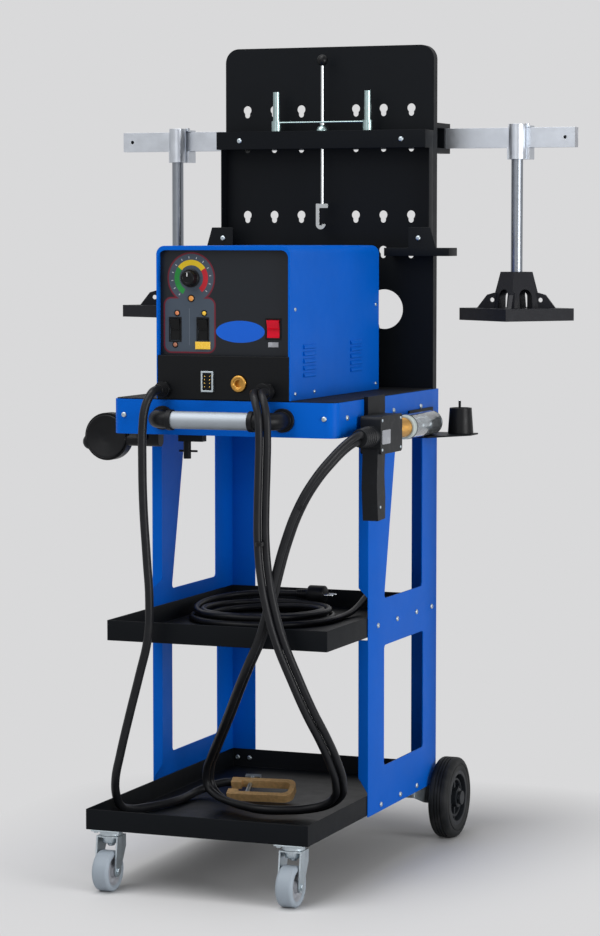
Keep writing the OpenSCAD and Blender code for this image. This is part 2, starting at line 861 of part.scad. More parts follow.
// Block that slides along the beam, with the sleeve of a leg in front of it
module slider(x) {
    gap = 0.3;
    y0 = beam_y - beam_t / 2;
    y1 = y0 + beam_t;
    z0 = beam_z - beam_h / 2;
    z1 = z0 + beam_h;
    half = slider_w / 2;
    bore = leg_d + 2 * run_gap;
    difference() {
        union() {
            span([x - half, y0 - 8, sleeve_bottom], [x + half, y1 + 5, z0 - gap]);
            span([x - half, y0 - 3, z1 + gap], [x + half, y1 + 5, z1 + 4]);
            span([x - half, y1 + gap, sleeve_bottom], [x + half, y1 + 5, z1 + 4]);
            z_bar(sleeve_bottom, sleeve_top, x, leg_y, 2 * sleeve_r);
        }
        span([x - half - eps, y0 - gap, z0 - gap], [x + half + eps, y1 + gap, z1 + gap]);
        z_bar(sleeve_bottom - eps, sleeve_top + eps, x, leg_y, bore);
    }
    z_bar(z1 + 4, z1 + 8, x + 15, y0 + 3, 9);
}

module left_slider() {
    color("#a9b0b6") slider(left_leg_x);
}

module right_slider() {
    color("#a9b0b6") slider(right_leg_x);
}

module leg(x) {
    z_bar(leg_seat, leg_top, x, leg_y, leg_d);
}

module left_leg() {
    color("#9a9ea6") leg(left_leg_x);
}

module right_leg() {
    color("#9a9ea6") leg(right_leg_x);
}

// Foot: plate, hollow body with an arch in each side, corner ribs and a rubber pad
module foot(x, turn_z) {
    half = foot_w / 2;
    top_w = 45;
    low_w = 68;
    rib_r = 78;
    arch_w = 30;
    arch_z = foot_body_z + 22;
    bore = leg_d + 2 * run_gap;
    translate([x, leg_y, 0]) rotate([0, 0, turn_z]) {
        difference() {
            union() {
                span([-half, -half, plate_z], [half, half, foot_body_z]);
                intersection() {
                    rotate([90, 0, 0]) translate([0, 0, -low_w / 2]) linear_extrude(low_w)
                        body_face(low_w, top_w);
                    rotate([90, 0, 90]) translate([0, 0, -low_w / 2]) linear_extrude(low_w)
                        body_face(low_w, top_w);
                }
                for (turn = [45, 135, 225, 315]) rotate([0, 0, turn]) translate([0, 4, 0])
                    rotate([90, 0, 0]) linear_extrude(8) polygon([[26, foot_body_z], [rib_r, foot_body_z],
                        [58, foot_body_z + 26], [44, foot_body_z + 30], [26, foot_body_z + 30]]);
            }
            for (turn = [0, 90]) rotate([90, 0, turn]) translate([0, 0, -low_w])
                linear_extrude(2 * low_w) union() {
                    translate([-arch_w / 2, foot_body_z]) square([arch_w, arch_z - foot_body_z]);
                    translate([0, arch_z]) circle(d = arch_w);
                }
            z_bar(leg_seat, foot_top + eps, 0, 0, bore);
            for (turn = [45, 225]) rotate([0, 0, turn]) y_bar(-10, 10, 48, foot_body_z + 16, 9);
        }
        span([-half, -half, foot_z], [half, half, plate_z]);
    }
}

// Sloping face of the foot body as [x, z]
module body_face(low_w, top_w) {
    polygon([[-low_w / 2, foot_body_z], [low_w / 2, foot_body_z], [low_w / 2 - 2, foot_body_z + 20],
             [top_w / 2, foot_top], [-top_w / 2, foot_top], [-low_w / 2 + 2, foot_body_z + 20]]);
}

module left_foot() {
    color("#1b1d20") foot(left_leg_x, left_foot_turn);
}

module right_foot() {
    color("#1b1d20") foot(right_leg_x, right_foot_turn);
}

// Welder chassis: floor, rear wall and a low upturned edge behind the moulding
module welder_base() {
    y0 = face_y + front_t;
    color("#1a1c1f") {
        span([-inner_half, y0, welder_z], [inner_half, welder_rear_y, welder_z + sheet]);
        span([-inner_half, y0, welder_z], [inner_half, y0 + sheet, welder_z + moulding_h]);
        difference() {
            span([-inner_half, welder_rear_y - sheet, welder_z],
                 [inner_half, welder_rear_y, welder_top - cover_t - cover_r]);
            y_bar(welder_rear_y - sheet - eps, welder_rear_y + eps, inlet_x, inlet_z, mains_d);
        }
    }
}

// Cover: a folded sheet over the top and both sides, with louvres and a narrow rim round the front panel
module welder_cover() {
    louvre_l = 56;
    louvre_h = 4;
    louvre_pitch = 13;
    rim_top = 8;
    rim_side = 4;
    half = welder_w / 2;
    color("#0a60d2") {
        difference() {
            xz_sheet(welder_front_y, welder_l) round_top(half, welder_z, welder_top, cover_r);
            xz_sheet(welder_front_y - eps, welder_l + 2 * eps)
                round_top(inner_half, welder_z - eps, welder_top - cover_t, cover_r - cover_t);
            for (s = side, y = [welder_front_y + 96, welder_front_y + 340], k = [0 : 4])
                span([s * half - 3, y - louvre_l / 2, welder_z + 40 + louvre_pitch * k],
                     [s * half + 3, y + louvre_l / 2, welder_z + 40 + louvre_pitch * k + louvre_h]);
        }
        xz_sheet(welder_front_y, cover_t) difference() {
            round_top(half, moulding_top, welder_top, cover_r);
            round_top(half - rim_side, moulding_top - eps, welder_top - rim_top, cover_r - cover_t);
        }
    }
}

// Front panel with its switch openings
module welder_front() {
    color("#22262b") difference() {
        xz_sheet(face_y, front_t)
            round_top(inner_half, moulding_top, welder_top - cover_t, cover_r - cover_t);
        for (x = mode_x) switch_opening(x, switch_z, rocker_w, rocker_h);
        switch_opening(power_x, power_z, power_w, power_h);
        y_bar(face_y - eps, face_y + front_t + eps, knob_x, knob_z, 6 + 2 * run_gap);
    }
}

// Opening of the front panel round a rocker
module switch_opening(x, z, w, h) {
    span([x - w / 2 - switch_gap, face_y - eps, z - h / 2 - switch_gap],
         [x + w / 2 + switch_gap, face_y + front_t + eps, z + h / 2 + switch_gap]);
}

// Lower moulding that holds the sockets and glands
module welder_moulding() {
    socket = 30;
    color("#101215") difference() {
        span([-inner_half, welder_front_y, welder_z], [inner_half, face_y + front_t, moulding_top]);
        y_bar(welder_front_y - eps, face_y + front_t + eps, brass_x, brass_z, socket);
    }
}

// Lamps and the lit window on the front panel
module indicator_lamps() {
    color("#e0a018") {
        for (p = lamp_places) y_bar(face_y - lamp_t, face_y, p[0], welder_z + p[1], p[2]);
        span([lit_sign_x - lit_sign_w / 2, face_y - lamp_t, lit_sign_z - lit_sign_h / 2],
             [lit_sign_x + lit_sign_w / 2, face_y, lit_sign_z + lit_sign_h / 2]);
    }
}

// Square control socket and the three cable glands
module front_connectors() {
    color("#202226") {
        difference() {
            span([square_x - square_w / 2, welder_front_y - square_t, square_z - square_h / 2],
                 [square_x + square_w / 2, welder_front_y, square_z + square_h / 2]);
            span([square_x - square_w / 2 + 3, welder_front_y - square_t - eps, square_z - square_h / 2 + 4],
                 [square_x + square_w / 2 - 3, welder_front_y - 3, square_z + square_h / 2 - 4]);
        }
        gland(earth_gland_x, welder_front_y, gland_z, gland_d, cable_d + 4, gland_l, -1);
        gland(gun_gland_x, welder_front_y, gland_z, gland_d, gland_d - 1, gland_l, -1);
        gland(inlet_x, welder_rear_y, inlet_z, mains_d + 12, mains_d + 3, inlet_l, 1);
    }
}

// Cable gland on a wall at y0 that tapers to its tip: dir is -1 to the front and 1 to the rear
module gland(x, y0, z, base, tip, l, dir) {
    nut = 7;
    translate([x, y0, z]) rotate([-90 * dir, 0, 0]) {
        cylinder(h = nut, d = base);
        translate([0, 0, nut]) cylinder(h = l - nut, d1 = base - 0.5, d2 = tip);
    }
}

module brass_socket() {
    color("#b98a35") difference() {
        y_bar(welder_front_y - 4, face_y + front_t, brass_x, brass_z, 30);
        y_bar(welder_front_y - 4 - eps, face_y, brass_x, brass_z, 14);
    }
}

// Transformer: laminated core with two windings, bolted to the floor of the welder
module transformer() {
    z0 = welder_z + 2;
    y0 = -70;
    color("#5d5148") difference() {
        span([-80, y0 - 45, z0], [80, y0 + 45, z0 + 150]);
        for (s = side) span([s > 0 ? 14 : -54, y0 - 46, z0 + 26], [s > 0 ? 54 : -14, y0 + 46, z0 + 124]);
    }
    color("#a05a2c") difference() {
        span([-40, y0 - 66, z0 + 30], [40, y0 + 66, z0 + 120]);
        span([-14, y0 - 45, z0 + 29], [14, y0 + 45, z0 + 121]);
    }
}

module circuit_board() {
    y0 = face_y + front_t + 14;
    z0 = welder_z + 100;
    color("#1f5a34") {
        span([-100, y0, z0], [100, y0 + 2, z0 + 120]);
        for (x = board_post_x, z = [z0 + 10, z0 + 110]) y_bar(face_y + front_t, y0, x, z, 6);
    }
}

// Current knob with its shaft through the front panel
module current_knob() {
    color("#131518") {
        y_bar(face_y - 20, face_y - 0.4, knob_x, knob_z, knob_d);
        y_bar(face_y - 1, face_y + front_t + 8, knob_x, knob_z, 6);
    }
}

// Rocker that tilts about a pin across its middle
module rocker(x, z, w, h) {
    translate([x, face_y + 1, z]) rotate([rocker_tilt, 0, 0]) difference() {
        span([-w / 2, -4, -h / 2], [w / 2, rocker_t - 6, h / 2]);
        for (s = side) translate([0, -4 - 1.5, s * h / 2]) rotate([s * 10, 0, 0])
            span([-w / 2 - eps, -3, -h / 2], [w / 2 + eps, 1.5, h / 2]);
    }
}

module left_rocker() {
    color("#0d0e10") rocker(mode_x[0], switch_z, rocker_w, rocker_h);
}

module right_rocker() {
    color("#0d0e10") rocker(mode_x[1], switch_z, rocker_w, rocker_h);
}

module power_rocker() {
    color("#c8102a") rocker(power_x, power_z, power_w, power_h);
}

// Plate that holds the gun, plate below its nose and the hook below the front lip
module tool_brackets() {
    holster_w = 92;
    holster_y = gun_rear_y + 41;
    plate_y0 = cup_y - 113;
    plate_y1 = cup_y + 27;
    color("#1b1d20") {
        span([shelf_half, holster_y, gun_bottom + 2],
             [gun_x - gun_w / 2, holster_y + holster_w, shelf_z + 5]);
        translate([0, 0, rest_plate_z - rest_plate_t]) linear_extrude(rest_plate_t)
            polygon([[shelf_half + rest_plate_t, plate_y0], [half_w + 42, plate_y0],
                     [half_w + 98, plate_y1 - 47], [half_w + 98, plate_y1],
                     [shelf_half + rest_plate_t, plate_y1]]);
        span([shelf_half, plate_y0, rest_plate_z - rest_plate_t],
             [shelf_half + rest_plate_t, plate_y1, lip_bottom + 30]);
        span([-90, shelf_front + sheet, lip_bottom - 12], [-42, shelf_front + sheet + 20, lip_bottom + 12]);
        z_bar(lip_bottom - 44, lip_bottom - 12, -76, shelf_front + 12, 14);
        x_bar(-92, -56, shelf_front + 12, lip_bottom - 30, 4);
    }
}

// Flared cup with the pin that stands in it
module tool_cup() {
    color("#16181a") difference() {
        translate([cup_x, cup_y, rest_plate_z]) cylinder(h = cup_h, d1 = 50, d2 = 43);
        z_bar(rest_plate_z + 4, rest_plate_z + cup_h + eps, cup_x, cup_y, 34);
    }
    color("#2b2e31") z_bar(rest_plate_z + 4, rest_plate_z + cup_h + 14, cup_x - 2, cup_y, 5);
}

// Round tool on its bar below the left lip
module disc_tool() {
    bar_end = -half_w + 48;
    color("#121416") {
        y_bar(tool_bar_y - 10, tool_bar_y + 14, disc_x, tool_bar_z + 5, disc_d);
        x_bar(disc_x - 28, bar_end, tool_bar_y, tool_bar_z, tool_bar_d);
        translate([disc_x - 38, tool_bar_y, tool_bar_z - 6]) sphere(d = 30);
        span([bar_end - 20, tool_bar_y - 12, tool_bar_z], [bar_end, tool_bar_y + 12, shelf_under]);
    }
}

// Gun body with its grip, as one profile in [y, z], and the boot of the cable
module gun_body() {
    color("#1a1c1f") {
        difference() {
            union() {
                yz_sheet(gun_x - gun_w / 2, gun_w)
                    round_rect([gun_rear_y, gun_bottom], [gun_front_y, gun_top], 8);
                yz_sheet(gun_x - 15, 30) polygon([[gun_rear_y - 2, gun_bottom + 10],
                    [grip_front_y, gun_bottom + 10], [grip_front_y - 4, slot_z + 20],
                    [grip_front_y + 1, slot_z - 20], [grip_front_y, grip_bottom],
                    [gun_rear_y, grip_bottom - 2], [gun_rear_y - 7, slot_z]]);
            }
            span([gun_x - slot_w / 2, grip_front_y - 16, slot_z - slot_half],
                 [gun_x + slot_w / 2, grip_front_y + 4, slot_z + slot_half]);
        }
        translate([gun_x, gun_rear_y - boot_l, boot_z]) rotate([-90, 0, 0])
            cylinder(h = boot_l + eps, d1 = 2 * cable_d, d2 = gun_w - 2);
    }
}

// Trigger in the slot of the grip
module gun_trigger() {
    half = slot_half - trigger_gap;
    w = slot_w / 2 - trigger_gap;
    color("#0c0d0f")
        span([gun_x - w, grip_front_y - 10, slot_z - half], [gun_x + w, grip_front_y + 3, slot_z + half]);
}

// Brass core between the body and the nose
module gun_collar() {
    color("#b98a35") y_bar(gun_front_y, ring_y - 16, gun_x, gun_z, 37);
}

// Nose: ring, clear cylinder and its end
module gun_nose() {
    color("#b8bfc2") {
        y_bar(ring_y - 16, ring_y, gun_x, gun_z, nose_d - 1);
        y_bar(ring_y, nose_end, gun_x, gun_z, nose_d);
    }
}

// Directions along a list of points
function unit(v) = v / norm(v);
function ahead(p, i) = unit(p[min(i + 1, len(p) - 1)] - p[max(i - 1, 0)]);
// Normals carried along the points with the least twist
function carry(n, t) = unit(n - (n * t) * t);
function normals(p, first) = [for (i = 0, n = carry(first, ahead(p, 0)); i < len(p);
    i = i + 1, n = i < len(p) ? carry(n, ahead(p, i)) : n) n];
// Oval ring about c, square to t, w wide along n and h thick across it
function ring(c, t, n, w, h, sides) = [for (k = [0 : sides - 1])
    c + w / 2 * cos(360 * k / sides) * n + h / 2 * sin(360 * k / sides) * cross(t, n)];

// Tube swept along points: w wide along the first normal and h thick across it
module tube(p, w, h, sides, first = [1, 0, 0]) {
    ns = normals(p, first);
    last = len(p) - 1;
    pts = [for (i = [0 : last]) each ring(p[i], ahead(p, i), ns[i], w, h, sides)];
    ends = [[for (k = [0 : sides - 1]) k], [for (k = [sides - 1 : -1 : 0]) last * sides + k]];
    walls = [for (i = [0 : last - 1], k = [0 : sides - 1])
        let (a = i * sides + k, b = i * sides + (k + 1) % sides)
        each [[b, a, b + sides], [b + sides, a, a + sides]]];
    polyhedron(points = pts, faces = concat(ends, walls), convexity = 8);
}

// Routes of the cables, from the gland to the far end
gun_route = [[88, -306, 914], [88, -324, 914], [94, -342, 911], [103, -356, 900], [112, -365, 878],
    [115, -367, 840], [114, -367, 780], [112, -367, 715], [112, -367, 650], [118, -367, 585],
    [129, -366, 528], [145, -362, 470], [166, -345, 404], [186, -322, 340], [201, -288, 284],
    [205, -248, 236], [200, -205, 190], [186, -178, 160], [161, -170, 142], [125, -174, 132],
    [86, -192, 130], [45, -202, 130], [4, -188, 131], [-38, -162, 132], [-71, -142, 138],
    [-91, -134, 156], [-89, -142, 188], [-71, -162, 219], [-41, -198, 260], [-3, -244, 312],
    [37, -292, 370], [73, -328, 424], [101, -342, 476], [119, -345, 532], [133, -345, 588],
    [150, -341, 650], [171, -334, 708], [196, -322, 756], [221, -300, 794], [240, -272, 820],
    [249, -254, 829], [250, -239, 830]];
earth_route = [[-118, -306, 914], [-118, -323, 913], [-120, -339, 903], [-125, -348, 882], [-128, -351, 850],
    [-129, -351, 790], [-127, -351, 700], [-121, -351, 610], [-116, -351, 530], [-120, -350, 462],
    [-138, -348, 393], [-159, -346, 319], [-180, -344, 240], [-192, -338, 195], [-198, -322, 162],
    [-199, -300, 138], [-193, -270, 127], [-180, -235, 124], [-164, -195, 124], [-152, -150, 124],
    [-150, -110, 124], [-149, -88, 125], [-145, -66, 128], [-132, -46, 133], [-114, -35, 139],
    [-98, -29, 142], [-87, -28, 143]];
mains_route = [[88, 211, 1038], [88, 224, 1038], [89, 240, 1038], [91, 258, 1036], [92, 276, 1025],
    [92, 290, 1004], [92, 297, 978], [92, 299, 900], [92, 299, 820], [92, 299, 740], [92, 299, 660],
    [92, 299, 580], [92, 297, 530], [91, 288, 504], [90, 268, 493], [89, 244, 484], [88, 210, 472],
    [88, 170, 462], [88, 130, 458], [88, 96, 457], [88, 76, 457], [88, 62, 457]];

module gun_cable() {
    color("#15171a") tube(gun_route, 2 * cable_d - 2, cable_d, 12);
}

module earth_cable() {
    color("#15171a") tube(earth_route, cable_d, cable_d, 10);
}

module mains_lead() {
    color("#15171a") tube(mains_route, mains_d, mains_d, 8);
}

// Mains lead wound in the middle tray: the winding spirals in, climbs a layer and spirals out again
coil_x = -58;
coil_y = 62;
coil_z = 457;
coil_r = 146;
coil_step = mains_d + 0.9;
coil_climb = mains_d + 0.6;
coil_turns = 2.5;
coil_end = 4.75;
coil_rings = 24;
coil_sides = 6;
coil_rise = 16.4;

// Turns that the winding has gone inward, and how far it has climbed, after a number of turns
function inward(t) = t < coil_turns + 0.25 ? t : 2 * coil_turns + 0.5 - t;
function soft(x) = let (c = min(max(x, 0), 1)) c * c * (3 - 2 * c);
function climbed(t) = coil_climb * min(max((t - coil_turns) / 0.5, 0), 1)
    + coil_rise * soft((t - coil_end + 0.4) / 0.35);
function wound(t) = let (r = coil_r - coil_step * inward(t))
    [coil_x + r * cos(360 * t), coil_y - r * sin(360 * t), coil_z + climbed(t)];
coil_points = concat([for (i = [0 : coil_end * coil_rings]) wound(i / coil_rings)],
    [wound(coil_end) + [mains_d, 0, 0]]);

module mains_coil() {
    color("#17191c") tube(coil_points, mains_d, mains_d, coil_sides, [1, 0, 0]);
}

// Least distance between stretches of the winding that are at least half a turn apart, less its diameter
coil_gap = min([for (i = [0 : len(coil_points) - 1], j = [i + coil_rings / 2 : 1 : len(coil_points) - 1])
    norm(coil_points[i] - coil_points[j])]) - mains_d;
echo(coil_gap = coil_gap);

// Plug that lies on the winding, with its strain relief and pins
plug_at = wound(coil_end) + [mains_d, 0, 0];
plug_d = 36;

module mains_plug() {
    relief_l = 28;
    body_l = 36;
    pin_l = 19;
    x0 = plug_at[0];
    x1 = x0 + relief_l;
    x2 = x1 + body_l;
    color("#1c1e21") {
        translate(plug_at) rotate([0, 90, 0]) cylinder(h = relief_l, d1 = mains_d + 2, d2 = 22);
        x_bar(x1, x2, plug_at[1], plug_at[2], plug_d);
        for (s = side) x_bar(x2, x2 + pin_l, plug_at[1] + s * 9.5, plug_at[2], 4.8);
    }
}

// Earth clamp in the lower tray: two arms joined by a bow, and a wing screw through the rear arm.
// It stands on the front edge of its bow, and the stiff cable holds its rear arm up.
clamp_at = [-18, -62, lower_tray_z + sheet + 0.3];
clamp_turn = 8;
clamp_tilt = 24;
clamp_t = 16;
clamp_l = 128;
clamp_w = 56;
arm_w = 10;
jaw_l = 20;
jaw_h = 7;
clamp_screw_x = -clamp_l / 2 + 36;
clamp_screw_d = 8;

// Puts its children in the plane of the clamp, with the bow to the right
module in_clamp() {
    translate(clamp_at) rotate([0, 0, clamp_turn]) rotate([clamp_tilt, 0, 0]) children();
}

module clamp_frame() {
    half = clamp_l / 2;
    color("#b98a35") in_clamp() difference() {
        linear_extrude(clamp_t) union() {
            difference() {
                round_rect([-20, 0], [half, clamp_w], 18);
                round_rect([-8, arm_w], [half - arm_w, clamp_w - arm_w], 12);
                translate([-half, arm_w]) square([half + 4, clamp_w - 2 * arm_w]);
            }
            for (y = [0, clamp_w - arm_w]) translate([-half, y]) square([half, arm_w]);
            for (y = [arm_w, clamp_w - arm_w - jaw_h]) translate([-half, y]) square([jaw_l, jaw_h]);
        }
        y_bar(clamp_w / 2, clamp_w + eps, clamp_screw_x, clamp_t / 2, clamp_screw_d + 2 * run_gap);
    }
}

// Screw that closes the clamp, with its wings
module clamp_screw() {
    head_y = clamp_w + 12;
    wing = 15;
    color("silver") in_clamp() {
        y_bar(arm_w + 2, head_y, clamp_screw_x, clamp_t / 2, clamp_screw_d);
        span([clamp_screw_x - wing, head_y - 1, clamp_t / 2 - 3],
             [clamp_screw_x + wing, head_y + 8, clamp_t / 2 + 3]);
    }
}

lower_tray();
middle_tray();
left_side_panel();
right_side_panel();
welder_shelf();
shelf_mat();
frame_screws();
handle_tube();
handle_supports();
rear_axle();
axle_brackets();
caster_plates();
backboard();
top_shelf();
side_rests();
hanger_posts();
pull_beam();
beam_brackets();
welder_base();
welder_cover();
welder_front();
welder_moulding();
indicator_lamps();
front_connectors();
brass_socket();
transformer();
circuit_board();
tool_brackets();
tool_cup();
disc_tool();
gun_body();
gun_collar();
gun_nose();
left_rear_tyre();
left_rear_hub();
right_rear_tyre();
right_rear_hub();
left_caster_fork();
right_caster_fork();
left_caster_wheel();
right_caster_wheel();
left_slider();
right_slider();
left_leg();
right_leg();
left_foot();
right_foot();
puller_rod();
current_knob();
left_rocker();
right_rocker();
power_rocker();
gun_trigger();
gun_cable();
earth_cable();
mains_lead();
mains_coil();
mains_plug();
clamp_frame();
clamp_screw();
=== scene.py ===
"""Looks of a spot welding and dent pulling station on a two-tray trolley, laid out as an add-on.

Each operator dresses one group of the station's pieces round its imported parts. Places are in millimetres:
+Z up, the front faces -Y, and the origin is on the floor below the middle of the station.
"""

import json
from math import cos, pi, radians, sin

import bpy
from bpy.props import FloatProperty, FloatVectorProperty, PointerProperty
from mathutils import Matrix, Vector

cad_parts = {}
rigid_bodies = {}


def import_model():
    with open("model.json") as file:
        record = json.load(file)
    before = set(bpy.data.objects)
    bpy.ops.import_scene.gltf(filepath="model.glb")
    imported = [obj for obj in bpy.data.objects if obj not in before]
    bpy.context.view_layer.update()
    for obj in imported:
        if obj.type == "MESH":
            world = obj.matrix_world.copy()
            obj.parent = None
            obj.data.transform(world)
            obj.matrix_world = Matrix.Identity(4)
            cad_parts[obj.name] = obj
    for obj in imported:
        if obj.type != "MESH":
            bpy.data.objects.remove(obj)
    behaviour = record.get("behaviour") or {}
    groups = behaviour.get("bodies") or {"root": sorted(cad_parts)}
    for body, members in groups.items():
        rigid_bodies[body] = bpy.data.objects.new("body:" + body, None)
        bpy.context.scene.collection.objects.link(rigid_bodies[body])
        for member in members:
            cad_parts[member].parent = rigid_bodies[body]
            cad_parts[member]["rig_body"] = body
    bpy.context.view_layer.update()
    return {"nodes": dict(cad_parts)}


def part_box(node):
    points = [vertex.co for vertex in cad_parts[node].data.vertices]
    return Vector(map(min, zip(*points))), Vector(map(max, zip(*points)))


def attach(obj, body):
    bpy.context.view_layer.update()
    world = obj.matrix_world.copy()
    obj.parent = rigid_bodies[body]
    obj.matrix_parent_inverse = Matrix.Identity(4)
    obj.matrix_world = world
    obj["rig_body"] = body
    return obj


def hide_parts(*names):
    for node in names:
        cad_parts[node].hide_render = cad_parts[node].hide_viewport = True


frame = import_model()

bl_info = {
    "name": "Spot welding station",
    "version": (1, 0, 0),
    "blender": (4, 5, 0),
    "location": "View3D > Sidebar > Station",
    "description": "Finishes, cables and small parts of a spot welding station on a trolley",
    "category": "Object",
}

MM = 0.001
SIDES = (-1, 1)
HANDS = ("left", "right")
X_AXIS, Y_AXIS, Z_AXIS = Vector((1, 0, 0)), Vector((0, 1, 0)), Vector((0, 0, 1))


def colour(red, green, blue):
    """Linear colour of a paint chart value given in steps of 255."""
    steps = (red / 255, green / 255, blue / 255)
    return tuple(s / 12.92 if s <= 0.04045 else ((s + 0.055) / 1.055) ** 2.4 for s in steps)


def tone(shade, factor):
    """A colour made lighter or darker."""
    return tuple(min(1, channel * factor) for channel in shade)


def swatch(name, description, default):
    """Colour property with a name, a description and its default."""
    return FloatVectorProperty(name=name, description=description, subtype="COLOR", size=3,
                               min=0, max=1, default=default)


def length(name, description, millimetres):
    """Length property with a name, a description and its default."""
    return FloatProperty(name=name, description=description, unit="LENGTH", default=millimetres * MM)


class StationColours(bpy.types.PropertyGroup):
    """Colours of the station's finishes."""
    blue: swatch("Frame blue", "Powder coat of panels, shelf and welder's cover", colour(0, 88, 188))
    black: swatch("Tray black", "Powder coat of trays, tool board and its shelves", colour(10, 13, 17))
    panel: swatch("Front panel", "Printed film of the welder's front panel", colour(24, 28, 34))
    field: swatch("Control field", "Print round the knob and the mode switches", colour(66, 76, 88))
    outline: swatch("Field outline", "Line round the control field", colour(104, 26, 42))
    rubber: swatch("Cable rubber", "Sheath of the cables", colour(22, 23, 26))
    plastic: swatch("Black plastic", "Knobs, handle ends, feet and gun body", colour(20, 22, 25))
    tread: swatch("Caster tread", "Polyurethane of the caster wheels", colour(150, 160, 170))
    brass: swatch("Brass", "Earth clamp, socket and gun core", colour(196, 148, 74))
    red: swatch("Power switch", "Rocker that switches the welder on", colour(206, 16, 42))


class StationSizes(bpy.types.PropertyGroup):
    """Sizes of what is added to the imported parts."""
    gun_lead: length("Gun lead", "Diameter of each of the two leads of the gun cable", 14.5)
    earth_lead: length("Earth cable", "Diameter of the earth cable", 16)
    mains_lead: length("Mains lead", "Diameter of the mains lead", 12)
    sheet_edge: length("Sheet edge", "Rounding of the cut edges of the sheet metal", 0.5)
    fold: length("Fold", "Outer radius of the folds of the sheet metal", 2.4)


class StationStage(bpy.types.PropertyGroup):
    """Camera and backdrop."""
    lens: FloatProperty(name="Lens", description="Focal length of the camera in millimetres", default=113.1)
    backdrop: swatch("Backdrop", "Colour of the floor and the backdrop", colour(217, 217, 218))


# Places on the front panel as (x, z), and the radius of each lamp.
KNOB = (-68, 1118)
LAMPS = ((-68, 1081, 6), (-96, 1054, 5), (-42, 1054, 5), (-100, 996, 5))
LIT_PLATE = (-45, 995)


# ---------------------------------------------------------------- modelling by hand, in words

SMOOTH_BELOW = radians(35)      # faces that meet more flatly are shaded as one
ROUND_ABOVE = radians(30)       # edges that are sharper get their rounding
FOLD_ABOVE = radians(40)        # edges that are sharper can be folds
FLAT_BELOW = radians(0.4)       # triangles that meet more flatly are one face
FOLD_STEPS = 4
NEAR = 0.1                      # how close to a sheet's end a fold is looked for, in millimetres


def at(x, y, z):
    """Point given in millimetres."""
    return Vector((x, y, z)) * MM


def box(node):
    """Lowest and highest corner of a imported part, in millimetres."""
    low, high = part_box(node)
    return low / MM, high / MM


def middle(node):
    """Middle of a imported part, in millimetres."""
    low, high = box(node)
    return (low + high) / 2


def moved(x, y, z):
    """Place shifted by millimetres."""
    return Matrix.Translation(at(x, y, z))


def pick(*objects):
    """Selects these objects and nothing else."""
    for other in bpy.context.selected_objects:
        other.select_set(False)
    for each in objects:
        each.select_set(True)
    if objects:
        bpy.context.view_layer.objects.active = objects[0]


def edit(piece):
    """Opens a piece in edit mode with all of it selected."""
    pick(piece)
    bpy.ops.object.mode_set(mode="EDIT")
    bpy.ops.mesh.select_all(action="SELECT")


def close():
    """Leaves edit mode."""
    bpy.ops.object.mode_set(mode="OBJECT")


def outwards(piece):
    """Turns all faces of a closed piece outwards."""
    edit(piece)
    bpy.ops.mesh.normals_make_consistent(inside=False)
    close()
    return piece


def thickened(piece, height):
    """Extrudes a flat piece upwards by a height in millimetres."""
    edit(piece)
    bpy.ops.mesh.extrude_region_move(TRANSFORM_OT_translate={"value": (0, 0, height * MM)})
    close()
    return outwards(piece)


def settle(piece, name, place=Matrix()):
    """Names a piece and puts its place into its mesh."""
    piece.name = piece.data.name = name
    piece.matrix_world = place @ piece.matrix_basis
    pick(piece)
    bpy.ops.object.transform_apply(location=True, rotation=True, scale=True)
    return piece


def facing(direction, start=(0, 0, 0)):
    """Place that turns +Z to a direction and starts at a point in millimetres."""
    return moved(*start) @ Vector(direction).to_track_quat("Z", "Y").to_matrix().to_4x4()


def smooth(piece):
    """Shades a piece smooth between its edges."""
    pick(piece)
    bpy.ops.object.shade_smooth_by_angle(angle=SMOOTH_BELOW)
    return piece


def rounded(piece, width, segments=2):
    """Rounds the edges of a piece by a width in millimetres."""
    pick(piece)
    bpy.ops.object.modifier_add(type="BEVEL")
    bevel = piece.modifiers[-1]
    bevel.width = width * MM
    bevel.segments = segments
    bevel.limit_method = "ANGLE"
    bevel.angle_limit = ROUND_ABOVE
    bevel.harden_normals = True
    smooth(piece)
    bpy.ops.object.modifier_apply(modifier=bevel.name)
    return piece


def outline_of(points, fill):
    """Closed outline through points in millimetres: a circle whose vertices are placed one by one."""
    pick()
    bpy.ops.mesh.primitive_circle_add(vertices=len(points), fill_type=fill)
    piece = bpy.context.active_object
    for vertex, point in zip(piece.data.vertices, points):
        vertex.co = at(*point)
    return piece


def turned(name, profile, start=(0, 0, 0), axis=Z_AXIS, steps=48):
    """Piece spun about an axis from a closed profile of (distance along it, radius) in millimetres."""
    piece = outline_of([(radius, 0, along) for along, radius in profile], "NOTHING")
    edit(piece)
    bpy.ops.mesh.spin(steps=steps, angle=2 * pi, center=(0, 0, 0), axis=Z_AXIS)
    bpy.ops.mesh.select_all(action="SELECT")
    bpy.ops.mesh.remove_doubles(threshold=1e-6)
    bpy.ops.mesh.delete_loose()
    close()
    return smooth(settle(outwards(piece), name, facing(axis, start)))


def plate(name, points, thickness, place=Matrix(), edge=0.4):
    """Flat piece: an outline of (x, y) extruded upwards, with its edges rounded."""
    piece = thickened(outline_of([(x, y, 0) for x, y in points], "NGON"), thickness)
    return rounded(settle(piece, name, place), edge)


def block(name, low, high, edge):
    """Block between two corners in millimetres, with its edges rounded."""
    low, high = at(*low), at(*high)
    pick()
    bpy.ops.mesh.primitive_cube_add(size=1, location=(low + high) / 2)
    piece = bpy.context.active_object
    piece.scale = high - low
    return rounded(settle(piece, name), edge, 3)


